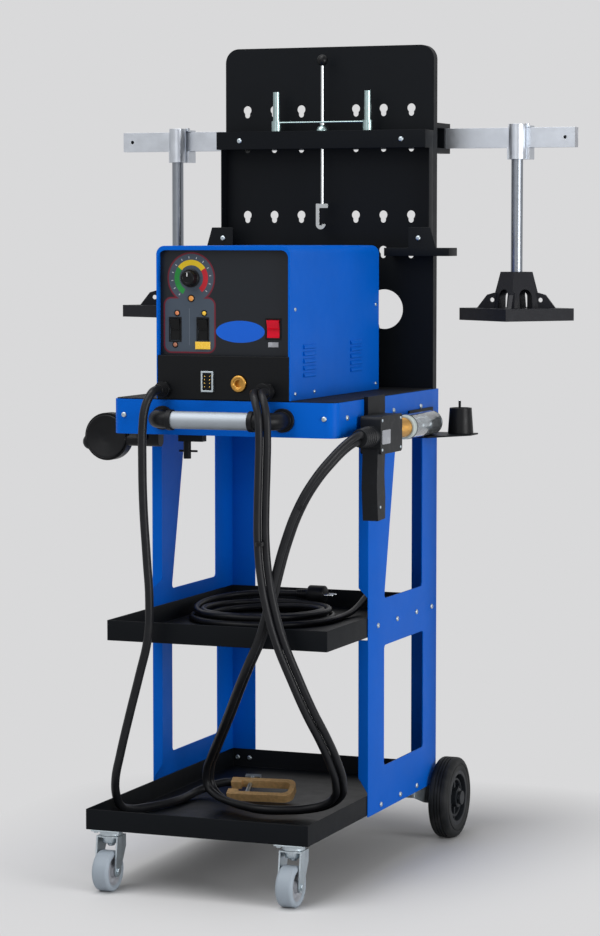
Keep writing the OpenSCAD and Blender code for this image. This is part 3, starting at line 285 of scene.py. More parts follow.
def rim(name, width, height, border, thickness, place):
    """Flat rectangular ring about the start of its place, with its edges rounded."""
    pick()
    bpy.ops.mesh.primitive_plane_add(size=1)
    piece = bpy.context.active_object
    piece.scale = (width * MM, height * MM, 1)
    settle(piece, name)
    edit(piece)
    bpy.ops.mesh.inset(thickness=border * MM)
    bpy.ops.mesh.delete(type="FACE")
    close()
    return rounded(settle(thickened(piece, thickness), name, place), 0.4)


def copied(piece, name, *places):
    """Copies of a piece, each with its own mesh, joined under one name; the model itself is removed."""
    twins = []
    for place in places:
        twin = piece.copy()
        twin.data = piece.data.copy()
        bpy.context.scene.collection.objects.link(twin)
        twin.matrix_world = place @ piece.matrix_basis
        twins.append(twin)
    bpy.data.objects.remove(piece)
    return joined(name, *twins)


def joined(name, *pieces):
    """Several pieces as one."""
    pick(*pieces)
    if len(pieces) > 1:
        bpy.ops.object.join()
    return settle(pieces[0], name)


def around(count, axis, centre=(0, 0, 0)):
    """Places that repeat a piece round an axis through a centre in millimetres."""
    centre = moved(*centre)
    return [centre @ Matrix.Rotation(2 * pi * k / count, 4, axis) @ centre.inverted() for k in range(count)]


def arc(along, radius, r, first, last, count=5):
    """Points of a rounded corner of a profile, from one angle in degrees to another."""
    angles = [radians(first + (last - first) * k / (count - 1)) for k in range(count)]
    return [(along + r * cos(a), radius + r * sin(a)) for a in angles]


def corners(x0, y0, x1, y1, r, count=5):
    """Outline of a rectangle with rounded corners."""
    return (arc(x1 - r, y0 + r, r, -90, 0, count) + arc(x1 - r, y1 - r, r, 0, 90, count)
            + arc(x0 + r, y1 - r, r, 90, 180, count) + arc(x0 + r, y0 + r, r, 180, 270, count))


def merged(node, name, whole_faces=True):
    """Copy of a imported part's mesh with its triangles merged into flat faces, or into quads."""
    piece = bpy.data.objects.new(name, frame["nodes"][node].data.copy())
    bpy.context.scene.collection.objects.link(piece)
    edit(piece)
    bpy.ops.mesh.remove_doubles(threshold=2e-6)
    bpy.ops.mesh.customdata_custom_splitnormals_clear()
    if whole_faces:
        bpy.ops.mesh.dissolve_limited(angle_limit=FLAT_BELOW)
    else:
        bpy.ops.mesh.tris_convert_to_quads(face_threshold=FLAT_BELOW, shape_threshold=pi)
    close()
    return piece


def fold_edges(piece, width, chosen):
    """Rounds the sharp edges whose two ends pass a test on their place in millimetres."""
    mesh = piece.data
    edit(piece)
    bpy.ops.mesh.select_all(action="DESELECT")
    bpy.ops.mesh.select_mode(type="EDGE")
    bpy.ops.mesh.edges_select_sharp(sharpness=FOLD_ABOVE)
    close()
    for line in mesh.edges:
        ends = [mesh.vertices[v].co / MM for v in line.vertices]
        line.select = line.select and all(chosen(end) for end in ends)
    bpy.ops.object.mode_set(mode="EDIT")
    bpy.ops.mesh.bevel(offset=width * MM, segments=FOLD_STEPS, affect="EDGES", clamp_overlap=True)
    bpy.ops.mesh.select_mode(type="VERT")
    close()
    return piece


def coat(mesh, finish):
    """Gives a mesh one finish all over."""
    mesh.materials.clear()
    mesh.materials.append(PAINTS[finish])


def repaint(piece, finish, chosen):
    """Gives a second finish to the faces whose middle passes a test on its place in millimetres."""
    piece.data.materials.append(PAINTS[finish])
    index = len(piece.data.materials) - 1
    for face in piece.data.polygons:
        if chosen(face.center / MM):
            face.material_index = index
    return piece


def fit(piece, finish, body="root", replaces=()):
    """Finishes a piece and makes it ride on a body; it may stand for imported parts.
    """
    coat(piece.data, finish)
    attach(piece, body)
    if replaces:
        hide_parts(*replaces)
    return piece


def finished(node, finish, edge, segments=2, folds=None, whole_faces=True):
    """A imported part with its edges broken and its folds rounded, which rides where the part does."""
    piece = merged(node, f"{node}_finished", whole_faces)
    if folds:
        fold_edges(piece, *folds)
    rounded(piece, edge, segments)
    return fit(piece, finish, frame["nodes"][node]["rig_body"], (node,))


# ---------------------------------------------------------------- shader arithmetic

def calculation(operation, reflected=False):
    """Method that adds a Math node to a material; reflected, the value itself comes last."""
    def calculate(value, *others):
        terms = (*others, value) if reflected else (value, *others)
        return value.tree.node("ShaderNodeMath", {"operation": operation}, dict(enumerate(terms)))
    return calculate


class Value:
    """Output of a node that takes part in Python arithmetic; an expression adds its Math nodes."""

    def __init__(self, tree, socket):
        self.tree = tree
        self.socket = socket

    __add__, __radd__ = calculation("ADD"), calculation("ADD", True)
    __sub__, __rsub__ = calculation("SUBTRACT"), calculation("SUBTRACT", True)
    __mul__, __rmul__ = calculation("MULTIPLY"), calculation("MULTIPLY", True)
    __truediv__, __rtruediv__ = calculation("DIVIDE"), calculation("DIVIDE", True)
    __pow__, __mod__ = calculation("POWER"), calculation("FLOORED_MODULO")
    __lt__, __gt__ = calculation("LESS_THAN"), calculation("GREATER_THAN")
    __abs__ = calculation("ABSOLUTE")
    at_least, at_most = calculation("MAXIMUM"), calculation("MINIMUM")
    sine, angle_from = calculation("SINE"), calculation("ARCTAN2")

    def ramp(self, low, high):
        """0 below low, 1 above high and even between them."""
        return self.tree.node("ShaderNodeMapRange", {}, {0: self, 1: low, 2: high, 3: 0.0, 4: 1.0})


class NodeTree:
    """Nodes of a material or of the world."""

    def __init__(self, owner):
        owner.use_nodes = True
        self.nodes, self.links = owner.node_tree.nodes, owner.node_tree.links

    def node(self, kind, settings=(), inputs=(), output=0):
        """Adds a node: its settings come first, then the values or links of its sockets."""
        made = self.nodes.new(kind)
        for name, value in dict(settings).items():
            setattr(made, name, value)
        for name, value in dict(inputs).items():
            self.plug(made.inputs[name], value)
        return Value(self, made.outputs[output])

    def plug(self, socket, value):
        """Links a value to a socket, or sets it there."""
        if isinstance(value, Value):
            self.links.new(value.socket, socket)
        elif socket.type == "RGBA":
            socket.default_value = (*value[:3], 1)
        else:
            socket.default_value = value


class Paint(NodeTree):
    """A material whose patterns follow the piece's own place, in metres."""

    def __init__(self, name, **constants):
        self.material = bpy.data.materials.new(name)
        super().__init__(self.material)
        self.shader = self.nodes["Principled BSDF"]
        self.set(**constants)
        self.place = self.node("ShaderNodeTexCoord", output="Object")

    def set(self, **values):
        """Links or sets sockets of the shader, each by its name with underscores."""
        for name, value in values.items():
            label = name.replace("_", " ").title().replace("Ior", "IOR")
            self.plug(self.shader.inputs[label], value)
        return self

    def axes(self):
        """The three coordinates of the place, in millimetres."""
        outputs = self.node("ShaderNodeSeparateXYZ", {}, {0: self.place}).socket.node.outputs
        return [Value(self, output) / MM for output in outputs]

    def noise(self, grain, detail=2.0, stretch=(1, 1, 1)):
        """Soft noise whose grains are a few millimetres wide, longer where stretch is above 1."""
        place = self.place
        if stretch != (1, 1, 1):
            squeeze = tuple(1 / s for s in stretch)
            place = self.node("ShaderNodeMapping", {}, {"Vector": place, "Scale": squeeze})
        return self.node("ShaderNodeTexNoise", {},
                         {"Vector": place, "Scale": 1000 / grain, "Detail": detail})

    def cells(self, per_metre):
        """Distance to the middle of the nearest cell, as a part of the cells' width."""
        return self.node("ShaderNodeTexVoronoi", {"feature": "F1"},
                         {"Vector": self.place, "Scale": per_metre})

    def mix(self, mask, low, high):
        """Colour that goes from low to high as the mask goes from 0 to 1."""
        return self.node("ShaderNodeMix", {"data_type": "RGBA"}, {0: mask, 6: low, 7: high}, 2)

    def bump(self, height, depth):
        """Relief whose full height is a depth in millimetres."""
        relief = self.node("ShaderNodeBump", {}, {"Strength": 1.0, "Distance": depth * MM, "Height": height})
        return self.set(normal=relief)


def powder_coat(name, shade, roughness, peel, gloss):
    """Powder coat with a fine orange peel, slow clouds of shade and dull handled patches."""
    paint = Paint(name, specular_ior_level=gloss)
    clouds = paint.noise(90, 3.0)
    patches = paint.noise(26, 4.0)
    peel_grain = paint.noise(1.7, 2.0)
    paint.set(base_color=paint.mix(clouds, tone(shade, 0.92), tone(shade, 1.08)),
              roughness=roughness + (patches - 0.5) * 0.14 + (peel_grain - 0.5) * 0.08)
    return paint.bump(peel_grain, peel).material


def bare_metal(name, shade, roughness, stretch=(1, 1, 1), streak=0.16, depth=0.01):
    """Metal with drawing or grinding marks along the stretched direction and a little tarnish."""
    paint = Paint(name, metallic=1.0)
    marks = paint.noise(0.9, 3.0, stretch)
    tarnish = paint.noise(22, 4.0)
    paint.set(base_color=paint.mix(tarnish, tone(shade, 0.84), tone(shade, 1.06)),
              roughness=roughness + (marks - 0.5) * streak + (tarnish - 0.5) * 0.12)
    return paint.bump(marks, depth).material


def cast_brass(name, shade):
    """Dull cast brass with dark hollows."""
    paint = Paint(name, metallic=0.3, specular_ior_level=0.4)
    hollows = paint.noise(7, 4.0).ramp(0.35, 0.65)
    skin = paint.noise(1.6, 3.0)
    paint.set(base_color=paint.mix(hollows, tone(shade, 0.8), shade), roughness=0.42 + skin * 0.2)
    return paint.bump(skin, 0.1).material


def zinc_plate(name, shade):
    """Zinc plating with its faint crystal patches."""
    paint = Paint(name, metallic=1.0)
    crystals = paint.cells(220)
    cloud = paint.noise(8, 3.0)
    paint.set(base_color=paint.mix(crystals * 0.4 + cloud * 0.6, tone(shade, 0.8), tone(shade, 1.12)),
              roughness=0.3 + cloud * 0.22)
    return paint.bump(cloud, 0.02).material


def moulded(name, shade, roughness, grain=0.7, depth=0.03):
    """Moulded plastic with a spark-eroded grain and a few paler rubbed patches."""
    paint = Paint(name, specular_ior_level=0.16)
    texture = paint.noise(grain, 2.0)
    rubbed = paint.noise(18, 4.0).ramp(0.52, 0.75)
    paint.set(base_color=paint.mix(rubbed, shade, tone(shade, 1.35)),
              roughness=roughness + (texture - 0.5) * 0.16 - rubbed * 0.08)
    return paint.bump(texture, depth).material


def elastomer(name, shade, roughness, grain=1.4, dust=0.3):
    """Rubber with a matt bloom and a little dust."""
    paint = Paint(name, specular_ior_level=0.18)
    bloom = paint.noise(30, 4.0).ramp(0.45, 0.8)
    texture = paint.noise(grain, 3.0)
    paint.set(base_color=paint.mix(bloom * dust, shade, colour(96, 96, 94)),
              roughness=roughness + (texture - 0.5) * 0.2 + bloom * 0.1)
    return paint.bump(texture, 0.04).material


def ribbed_mat(name, shade):
    """Rubber mat with fine ribs from front to back."""
    paint = Paint(name, specular_ior_level=0.15)
    rib_width = 4
    x, _, _ = paint.axes()
    ribs = (x * (2 * pi / rib_width)).sine().ramp(-0.4, 0.6)
    cloud = paint.noise(40, 3.0)
    paint.set(base_color=paint.mix(cloud, tone(shade, 0.85), tone(shade, 1.2)),
              roughness=0.52 + cloud * 0.14)
    return paint.bump(ribs, 0.5).material


def nose_glass(name):
    """Clear tube with a faint grey tint and fine scratches."""
    paint = Paint(name, transmission_weight=0.92, ior=1.46, specular_ior_level=0.5)
    scratches = paint.noise(1.2, 3.0, (1, 30, 1)).ramp(0.55, 0.9)
    paint.set(base_color=paint.mix(scratches, colour(206, 212, 216), colour(232, 236, 238)),
              roughness=0.05 + scratches * 0.12)
    return paint.bump(scratches, 0.01).material


def signal_lens(name):
    """Lamp lenses, each with its own colour by its place on the panel."""
    paint = Paint(name, coat_weight=0.4, coat_roughness=0.08)
    left_end, right_start, upper_foot = -85, -60, 1030
    x, _, z = paint.axes()
    warm = paint.mix(x > right_start, colour(214, 132, 24), colour(236, 188, 20))
    dull = paint.mix(z > upper_foot, colour(150, 74, 54), colour(204, 110, 62))
    shade = paint.mix(x < left_end, warm, dull)
    glow = paint.noise(3, 2.0)
    paint.set(base_color=paint.mix(glow * 0.15, shade, colour(255, 228, 170)), roughness=0.22 + glow * 0.1)
    return paint.bump(paint.noise(0.8), 0.03).material


def sign_film(name, colours):
    """Printed film of the front panel: control field, scale of the knob and plain plates."""
    field_low, field_high, field_round = (-122, 982), (-21, 1082), 14
    disc_r, outline_half = 46, 1.7
    band_r, band_half, red_from, green_from, gap_from, gap_to = 28.5, 5.2, 34, 142, -120, -50
    tick_r, tick_half, tick_step, tick_first, tick_wide = 38, 2.2, 22.5, 4.5, 1.1
    oval_x, oval_z, oval_wide, oval_high = 29, 1021, 48, 20
    line_x, line_z, line_wide, line_half = -72, 1029, 0.6, 34
    paint = Paint(name, specular_ior_level=0.25)
    x, _, z = paint.axes()
    across, up = x - KNOB[0], z - KNOB[1]
    reach = (across * across + up * up) ** 0.5
    turn = up.angle_from(across) * (180 / pi)

    def inside(distance):
        """1 inside a shape and 0 outside it, with an edge half a millimetre soft."""
        clamped = {"operation": "MULTIPLY", "use_clamp": True}
        return paint.node("ShaderNodeMath", clamped, {0: distance, 1: -2.0})

    def panel_shape(low, high, r):
        """Distance to the outline of a rounded rectangle."""
        dx = (abs(x - (low[0] + high[0]) / 2) - ((high[0] - low[0]) / 2 - r)).at_least(0)
        dz = (abs(z - (low[1] + high[1]) / 2) - ((high[1] - low[1]) / 2 - r)).at_least(0)
        return (dx * dx + dz * dz) ** 0.5 - r

    field = (reach - disc_r).at_most(panel_shape(field_low, field_high, field_round))
    shade = paint.mix(inside(field), colours.panel, colours.field)
    shade = paint.mix(inside(abs(field) - outline_half), shade, colours.outline)
    outside_gap = 1 - (turn > gap_from) * (turn < gap_to)
    scale = paint.mix(turn > red_from, colour(176, 34, 46), colour(214, 182, 36))
    scale = paint.mix((turn > green_from).at_least(turn < gap_from), scale, colour(38, 132, 60))
    shade = paint.mix(inside(abs(reach - band_r) - band_half) * outside_gap, shade, scale)
    ticks = abs((turn + tick_first) % tick_step - tick_step / 2) < tick_wide
    ticks = ticks * inside(abs(reach - tick_r) - tick_half) * outside_gap
    shade = paint.mix(ticks, shade, colour(176, 180, 186))
    oval = ((x - oval_x) / oval_wide) ** 2 + ((z - oval_z) / oval_high) ** 2 < 1
    shade = paint.mix(oval, shade, colour(12, 92, 204))
    line = inside(abs(x - line_x) - line_wide) * inside(abs(z - line_z) - line_half)
    shade = paint.mix(line * 0.5, shade, colour(130, 138, 148))
    cloud = paint.noise(60, 3.0)
    matt = paint.noise(0.6, 2.0)
    paint.set(base_color=paint.mix(cloud * 0.12, shade, colour(0, 0, 0)),
              roughness=0.36 + (matt - 0.5) * 0.12 + (cloud - 0.5) * 0.1)
    return paint.bump(matt, 0.012).material


def transformer_iron(name):
    """Stacked core sheets, with varnished copper wire where the windings are."""
    paint = Paint(name, metallic=0.35)
    sheet, wire, winding_half, core_y, core_half = 0.5, 2.0, 41, -70, 45.2
    x, y, z = paint.axes()
    sheets = (y / sheet) % 1.0
    wires = (z / wire) % 1.0
    winding = (abs(x) < winding_half) * (abs(y - core_y) > core_half)
    iron = paint.mix(sheets, colour(58, 52, 48), colour(104, 96, 88))
    # Each wire is painted lighter along its middle and darker towards the next wire: painted shading of the
    # round wires.
    copper = paint.mix(abs(wires - 0.5), colour(168, 92, 44), colour(104, 52, 26))
    paint.set(base_color=paint.mix(winding, iron, copper), roughness=0.4 + sheets * 0.15)
    return paint.bump(sheets * (1 - winding) + wires * winding, 0.1).material


def circuit_green(name):
    """Circuit board with tracks and solder points under green lacquer."""
    paint = Paint(name, coat_weight=0.3)
    x, _, z = paint.axes()
    pitch_x, pitch_z, track_half = 7.0, 9.0, 0.5
    upright = abs((x % pitch_x) - pitch_x / 2) < track_half
    level = abs((z % pitch_z) - pitch_z / 2) < track_half
    tracks = upright.at_least(level) * (paint.noise(20) > 0.5)
    dots = paint.cells(260) < 0.16
    shade = paint.mix(tracks, colour(24, 84, 50), colour(60, 132, 84))
    paint.set(base_color=paint.mix(dots, shade, colour(188, 190, 186)), roughness=0.34 + dots * 0.1)
    return paint.bump(tracks + dots, 0.05).material


PAINTS = {}


def mix_paints(colours):
    """Mixes every finish once and keeps it by name: that of its slot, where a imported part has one."""
    PAINTS.update(
        blue_paint=powder_coat("blue_powder_coat", colours.blue, 0.44, peel=0.03, gloss=0.06),
        black_paint=powder_coat("black_powder_coat", colours.black, 0.45, peel=0.05, gloss=0.1),
        zinc_steel=zinc_plate("zinc_plating", colour(186, 196, 202)),
        axle_steel=bare_metal("drawn_steel", colour(178, 184, 190), 0.32, stretch=(40, 1, 1)),
        polished_steel=bare_metal("polished_steel", colour(206, 210, 212), 0.16,
                                  stretch=(1, 1, 30), streak=0.08, depth=0.004),
        post_steel=bare_metal("passivated_steel", colour(158, 178, 178), 0.3, stretch=(1, 1, 30)),
        beam_aluminium=bare_metal("anodised_aluminium", colour(196, 201, 208), 0.36,
                                  stretch=(60, 1, 1), streak=0.14),
        leg_aluminium=bare_metal("drawn_aluminium", colour(136, 141, 148), 0.34,
                                 stretch=(1, 1, 60), streak=0.14),
        mat_rubber=ribbed_mat("ribbed_mat", colour(17, 18, 20)),
        tyre_black=elastomer("tyre_rubber", colour(20, 22, 24), 0.58, grain=1.6, dust=0.2),
        tread_grey=elastomer("caster_tread", colours.tread, 0.42, grain=1.1, dust=0.12),
        hub_plastic=moulded("hub_plastic", colour(26, 29, 33), 0.45),
        support_plastic=moulded("handle_plastic", colour(16, 17, 20), 0.4),
        foot_plastic=moulded("foot_plastic", colour(22, 23, 28), 0.44, grain=1.2, depth=0.05),
        panel_dark=sign_film("panel_film", colours),
        moulding_black=moulded("moulding_plastic", colour(9, 11, 14), 0.4, grain=0.9),
        knob_black=moulded("knob_plastic", colour(14, 15, 17), 0.36),
        rocker_black=moulded("rocker_plastic", colour(14, 15, 16), 0.3, grain=0.5, depth=0.01),
        rocker_red=moulded("red_rocker_plastic", colours.red, 0.24, grain=0.5, depth=0.01),
        lamp_amber=signal_lens("lamp_lens"),
        brass=bare_metal("brass", colours.brass, 0.34, streak=0.2, depth=0.02),
        gun_plastic=moulded("gun_plastic", colours.plastic, 0.46, grain=0.9, depth=0.06),
        clear_nose=nose_glass("nose_glass"),
        tool_iron=moulded("blackened_iron", colour(15, 16, 18), 0.4, grain=2.4, depth=0.06),
        core_iron=transformer_iron("transformer_core"),
        board_green=circuit_green("circuit_board"),
        cable_rubber=elastomer("cable_sheath", colours.rubber, 0.38, grain=2.2, dust=0.04),
        plug_black=moulded("plug_plastic", colour(17, 18, 20), 0.42),
        rubber_pad=elastomer("pad_rubber", colour(15, 16, 18), 0.6),
        cast_brass=cast_brass("cast_brass", colour(216, 176, 122)),
        satin_tube=bare_metal("satin_tube", colour(164, 171, 178), 0.6, stretch=(40, 1, 1), streak=0.1),
        mark_white=moulded("printed_mark", colour(206, 208, 210), 0.4),
        plate_grey=moulded("plain_plate", colour(150, 152, 158), 0.45),
        ring_clear=elastomer("nylon_ring", colour(176, 186, 182), 0.35, grain=1.0, dust=0.1),
        gold_pin=bare_metal("gilt_pin", colour(214, 178, 96), 0.25),
    )


# ---------------------------------------------------------------- cables

GUN_ROUTE = ((88, -306, 914), (88, -324, 914), (94, -342, 911), (103, -356, 900), (112, -365, 878),
             (115, -367, 840), (114, -367, 780), (112, -367, 715), (112, -367, 650), (118, -367, 585),
             (129, -366, 528), (145, -362, 470), (166, -345, 404), (186, -322, 340), (201, -288, 284),
             (205, -248, 236), (200, -205, 190), (186, -178, 160), (161, -170, 142), (125, -174, 132),
             (86, -192, 130), (45, -202, 130), (4, -188, 131), (-38, -162, 132), (-71, -142, 138),
             (-91, -134, 156), (-89, -142, 188), (-71, -162, 219), (-41, -198, 260), (-3, -244, 312),
             (37, -292, 370), (73, -328, 424), (101, -342, 476), (119, -345, 532), (133, -345, 588),
             (150, -341, 650), (171, -334, 708), (196, -322, 756), (221, -300, 794), (240, -272, 820),
             (249, -254, 829), (250, -239, 830))
EARTH_ROUTE = ((-118, -306, 914), (-118, -323, 913), (-120, -339, 903), (-125, -348, 882), (-128, -351, 850),
               (-129, -351, 790), (-127, -351, 700), (-121, -351, 610), (-116, -351, 530), (-120, -350, 462),
               (-138, -348, 393), (-159, -346, 319), (-180, -344, 240), (-192, -338, 195), (-198, -322, 162),
               (-199, -300, 138), (-193, -270, 127), (-180, -235, 124), (-164, -195, 124), (-152, -150, 124),
               (-150, -110, 124), (-149, -88, 125), (-145, -66, 128), (-132, -46, 133), (-114, -35, 139),
               (-98, -29, 142), (-87, -28, 143))
MAINS_ROUTE = ((88, 211, 1038), (88, 224, 1038), (89, 240, 1038), (91, 258, 1036), (92, 276, 1025),
               (92, 290, 1004), (92, 297, 978), (92, 299, 900), (92, 299, 820), (92, 299, 740),
               (92, 299, 660), (92, 299, 580), (92, 297, 530), (91, 288, 504), (90, 268, 493),
               (89, 244, 484), (88, 210, 472), (88, 170, 462), (88, 130, 458), (88, 96, 457),
               (88, 76, 457))
COIL_CENTRE = (-58, 62, 457)
COIL_RADIUS, COIL_STEP, COIL_CLIMB, COIL_RISE = 146, 12.9, 12.6, 16.4
COIL_TURNS, COIL_END, COIL_RINGS = 2.5, 4.75, 24
TIED_AT = (8, 36)               # points of the gun's route at which a strap holds its two leads


def wound(turns):
    """Point of the winding after a number of turns: it spirals in, climbs a layer and spirals out."""
    crossing, rise_before, rise_over = 0.5, 0.4, 0.35
    inward = turns if turns < COIL_TURNS + crossing / 2 else 2 * COIL_TURNS + crossing - turns
    radius = COIL_RADIUS - COIL_STEP * inward
    climb = COIL_CLIMB * min(max((turns - COIL_TURNS) / crossing, 0), 1)
    last = min(max((turns - COIL_END + rise_before) / rise_over, 0), 1)
    x, y, z = COIL_CENTRE
    return (x + radius * cos(2 * pi * turns), y - radius * sin(2 * pi * turns),
            z + climb + COIL_RISE * last * last * (3 - 2 * last))


def beside(route, offset):
    """Line that runs beside a route at a distance across it, without twisting."""
    points = [Vector(point) for point in route]
    across, line = X_AXIS.copy(), []
    for k, point in enumerate(points):
        ahead = (points[min(k + 1, len(points) - 1)] - points[max(k - 1, 0)]).normalized()
        across = (across - across.dot(ahead) * ahead).normalized()
        line.append(point + offset * across)
    return line


def cable(name, points, diameter, roundness=5):
    """Round cable along points in millimetres, as a smooth curve."""
    pick()
    bpy.ops.curve.primitive_bezier_curve_add()
    piece = bpy.context.active_object
    piece.name = piece.data.name = name
    line = piece.data.splines[0]
    line.bezier_points.add(len(points) - 2)
    for knot, point in zip(line.bezier_points, points):
        knot.co = at(*point)
        knot.handle_left_type = knot.handle_right_type = "AUTO"
    piece.data.bevel_depth = diameter / 2
    piece.data.resolution_u = piece.data.bevel_resolution = roundness
    piece.data.use_fill_caps = True
    return piece


class STATION_OT_cables(bpy.types.Operator):
    """Lay the two leads to the gun, the earth cable and the mains lead with its coil and plug"""
    bl_idname = "station.cables"
    bl_label = "Cables"

    def execute(self, context):
        sizes = context.scene.station_sizes
        for side, name in zip(SIDES, ("left_gun_lead", "right_gun_lead")):
            line = beside(GUN_ROUTE, side * sizes.gun_lead / MM / 2)
            lead = fit(cable(name, line, sizes.gun_lead), "cable_rubber", replaces=("gun_cable",))
        self.ties()
        earth = cable("earth_lead", EARTH_ROUTE, sizes.earth_lead)
        fit(earth, "cable_rubber", replaces=("earth_cable",))
        coil = [wound(k / COIL_RINGS) for k in range(int(COIL_END * COIL_RINGS) + 1)]
        plug_at = Vector(coil[-1]) + X_AXIS * (sizes.mains_lead / MM)
        mains = cable("mains_cord", [*MAINS_ROUTE, *coil, plug_at], sizes.mains_lead)
        fit(mains, "cable_rubber", replaces=("mains_lead", "mains_coil"))
        plug = self.plug(plug_at)
        return {"FINISHED"}

    def ties(self):
        """Straps that hold the two gun leads together."""
        straps = []
        for knot in TIED_AT:
            here, ahead = Vector(GUN_ROUTE[knot]), Vector(GUN_ROUTE[knot + 1])
            outline = corners(-16, -8.6, 16, 8.6, 8.4, 7)
            straps.append(plate("cable_tie", outline, 7, facing(ahead - here, here), 0.6))
        fit(joined("gun_cable_ties", *straps), "plug_black")

    def plug(self, start):
        """Plug with its ribbed relief, grip ribs and two pins, which points along +X."""
        face, pin_r, pin_end, pin_off = 64, 2.4, 83, 9.5
        relief = [(0, 0), (0, 7)]
        for k in range(5):
            relief += [(4 + 5 * k, 7.4 + 0.7 * k), (4.8 + 5 * k, 8.6 + 0.6 * k), (7 + 5 * k, 8.6 + 0.6 * k)]
        body = arc(32, 14, 4, 180, 90) + arc(face - 4, 14, 4, 90, 0) + [(face, 0)]
        shell = turned("plug_shell", relief + body, start, X_AXIS, 40)
        rib = block("plug_rib", (34, -1, 17.4), (54, 1, 18), 0.3)
        ribs = copied(rib, "plug_ribs", *[moved(*start) @ turn for turn in around(14, X_AXIS)])
        plug = fit(joined("mains_plug_body", shell, ribs), "plug_black", replaces=("mains_plug",))
        outline = [(face, 0), (face, pin_r), (pin_end - 1, pin_r), (pin_end, pin_r - 1), (pin_end, 0)]
        pin = turned("pin", outline, axis=X_AXIS, steps=20)
        x, y, z = start
        fit(copied(pin, "mains_plug_pins", *[moved(x, y + s * pin_off, z) for s in SIDES]), "polished_steel")
        return plug


# ---------------------------------------------------------------- sheet metal, screws and handle

class STATION_OT_sheet_metal(bpy.types.Operator):
    """Fold and paint the trays, panels, shelf and brackets of the trolley"""
    bl_idname = "station.sheet_metal"
    bl_label = "Sheet metal"

    def execute(self, context):
        sizes = context.scene.station_sizes
        edge, fold = sizes.sheet_edge / MM, sizes.fold / MM
        for node in ("lower_tray", "middle_tray"):
            floor = box(node)[0].z + NEAR
            finished(node, "black_paint", edge, folds=(fold, lambda p: p.z < floor))
        for node in ("left_side_panel", "right_side_panel"):
            low, high = box(node)
            outer = max(abs(low.x), abs(high.x)) - NEAR
            front, back = low.y + NEAR, high.y - NEAR
            finished(node, "blue_paint", edge,
                     folds=(fold, lambda p: abs(p.x) > outer and not front <= p.y <= back))
        top = box("welder_shelf")[1].z - NEAR
        finished("welder_shelf", "blue_paint", edge, folds=(fold, lambda p: p.z > top), whole_faces=False)
        finished("shelf_mat", "mat_rubber", 0.5)
        finished("axle_brackets", "zinc_steel", 0.6)
        return {"FINISHED"}


# Places of the frame's screws from front to back.
LOWER_TRAY_SCREWS, MIDDLE_TRAY_SCREWS, SHELF_SCREWS = (-38, 71, 167), (-56, 51, 162, 252), (-228, 22, 178)


def screws(name, spots, size=1.0, replaces=()):
    """Button heads with their sockets in one piece, each at a spot of (where it looks, its point)."""
    dome = [(0, 5), (0.7, 5)] + arc(0.7, 2.6, 2.4, 90, 20, 4) + [(3, 1.7), (1.5, 1.5), (1.5, 0), (0, 0)]
    head = turned("screw_head", dome, steps=24)
    places = [facing(out, point) @ Matrix.Scale(size, 4) for out, point in spots]
    return fit(copied(head, name, *places), "zinc_steel", replaces=replaces)


class STATION_OT_screws(bpy.types.Operator):
    """Set the screws of the trolley and its board"""
    bl_idname = "station.screws"
    bl_label = "Screws"

    def execute(self, context):
        half, tray_wall = box("right_side_panel")[1].x, 2
        shelf_low, shelf_high = box("welder_shelf")
        lip, shelf_row = shelf_high.x, shelf_high.z - 29
        lower, upper = box("lower_tray")[0].z, box("middle_tray")[0].z
        tray_back = box("lower_tray")[1].y - tray_wall
        board_shelf, rests = box("top_shelf"), box("side_rests")
        spots = []
        for s in SIDES:
            sideways = [(half, y, lower + 10) for y in LOWER_TRAY_SCREWS]
            sideways += [(half, y, upper + 17) for y in MIDDLE_TRAY_SCREWS]
            sideways += [(lip, y, shelf_row) for y in SHELF_SCREWS]
            forward = [(lip - 24, shelf_low.y, shelf_row)]
            forward += [(x, tray_back, z + 20) for x in (half - 14, half - 40) for z in (lower, upper)]
            forward += [(half - 14, rests[0].y, rests[1].z - 21),
                        (half - 50, board_shelf[0].y, board_shelf[1].z - 18)]
            spots += [(s * X_AXIS, (s * x, y, z)) for x, y, z in sideways]
            spots += [(-Y_AXIS, (s * x, y, z)) for x, y, z in forward]
        screws("frame_screw_heads", spots, replaces=("frame_screws",))
        return {"FINISHED"}


class STATION_OT_handle(bpy.types.Operator):
    """Finish the handle tube and its two moulded ends"""
    bl_idname = "station.handle"
    bl_label = "Handle"

    def execute(self, context):
        finished("handle_tube", "satin_tube", 0.4)
        finished("handle_supports", "support_plastic", 1.0, 3)
        return {"FINISHED"}


# ---------------------------------------------------------------- wheels

def wheel_at(node):
    """Centre, radius and half width of a packed wheel, in millimetres."""
    low, high = box(node)
    return (low + high) / 2, (high.z - low.z) / 2, (high.x - low.x) / 2


def mirrored(side, between=()):
    """Closed profile of a wheel from the profile of its outer side."""
    return [*side, *between, *((-along, radius) for along, radius in reversed(side))]


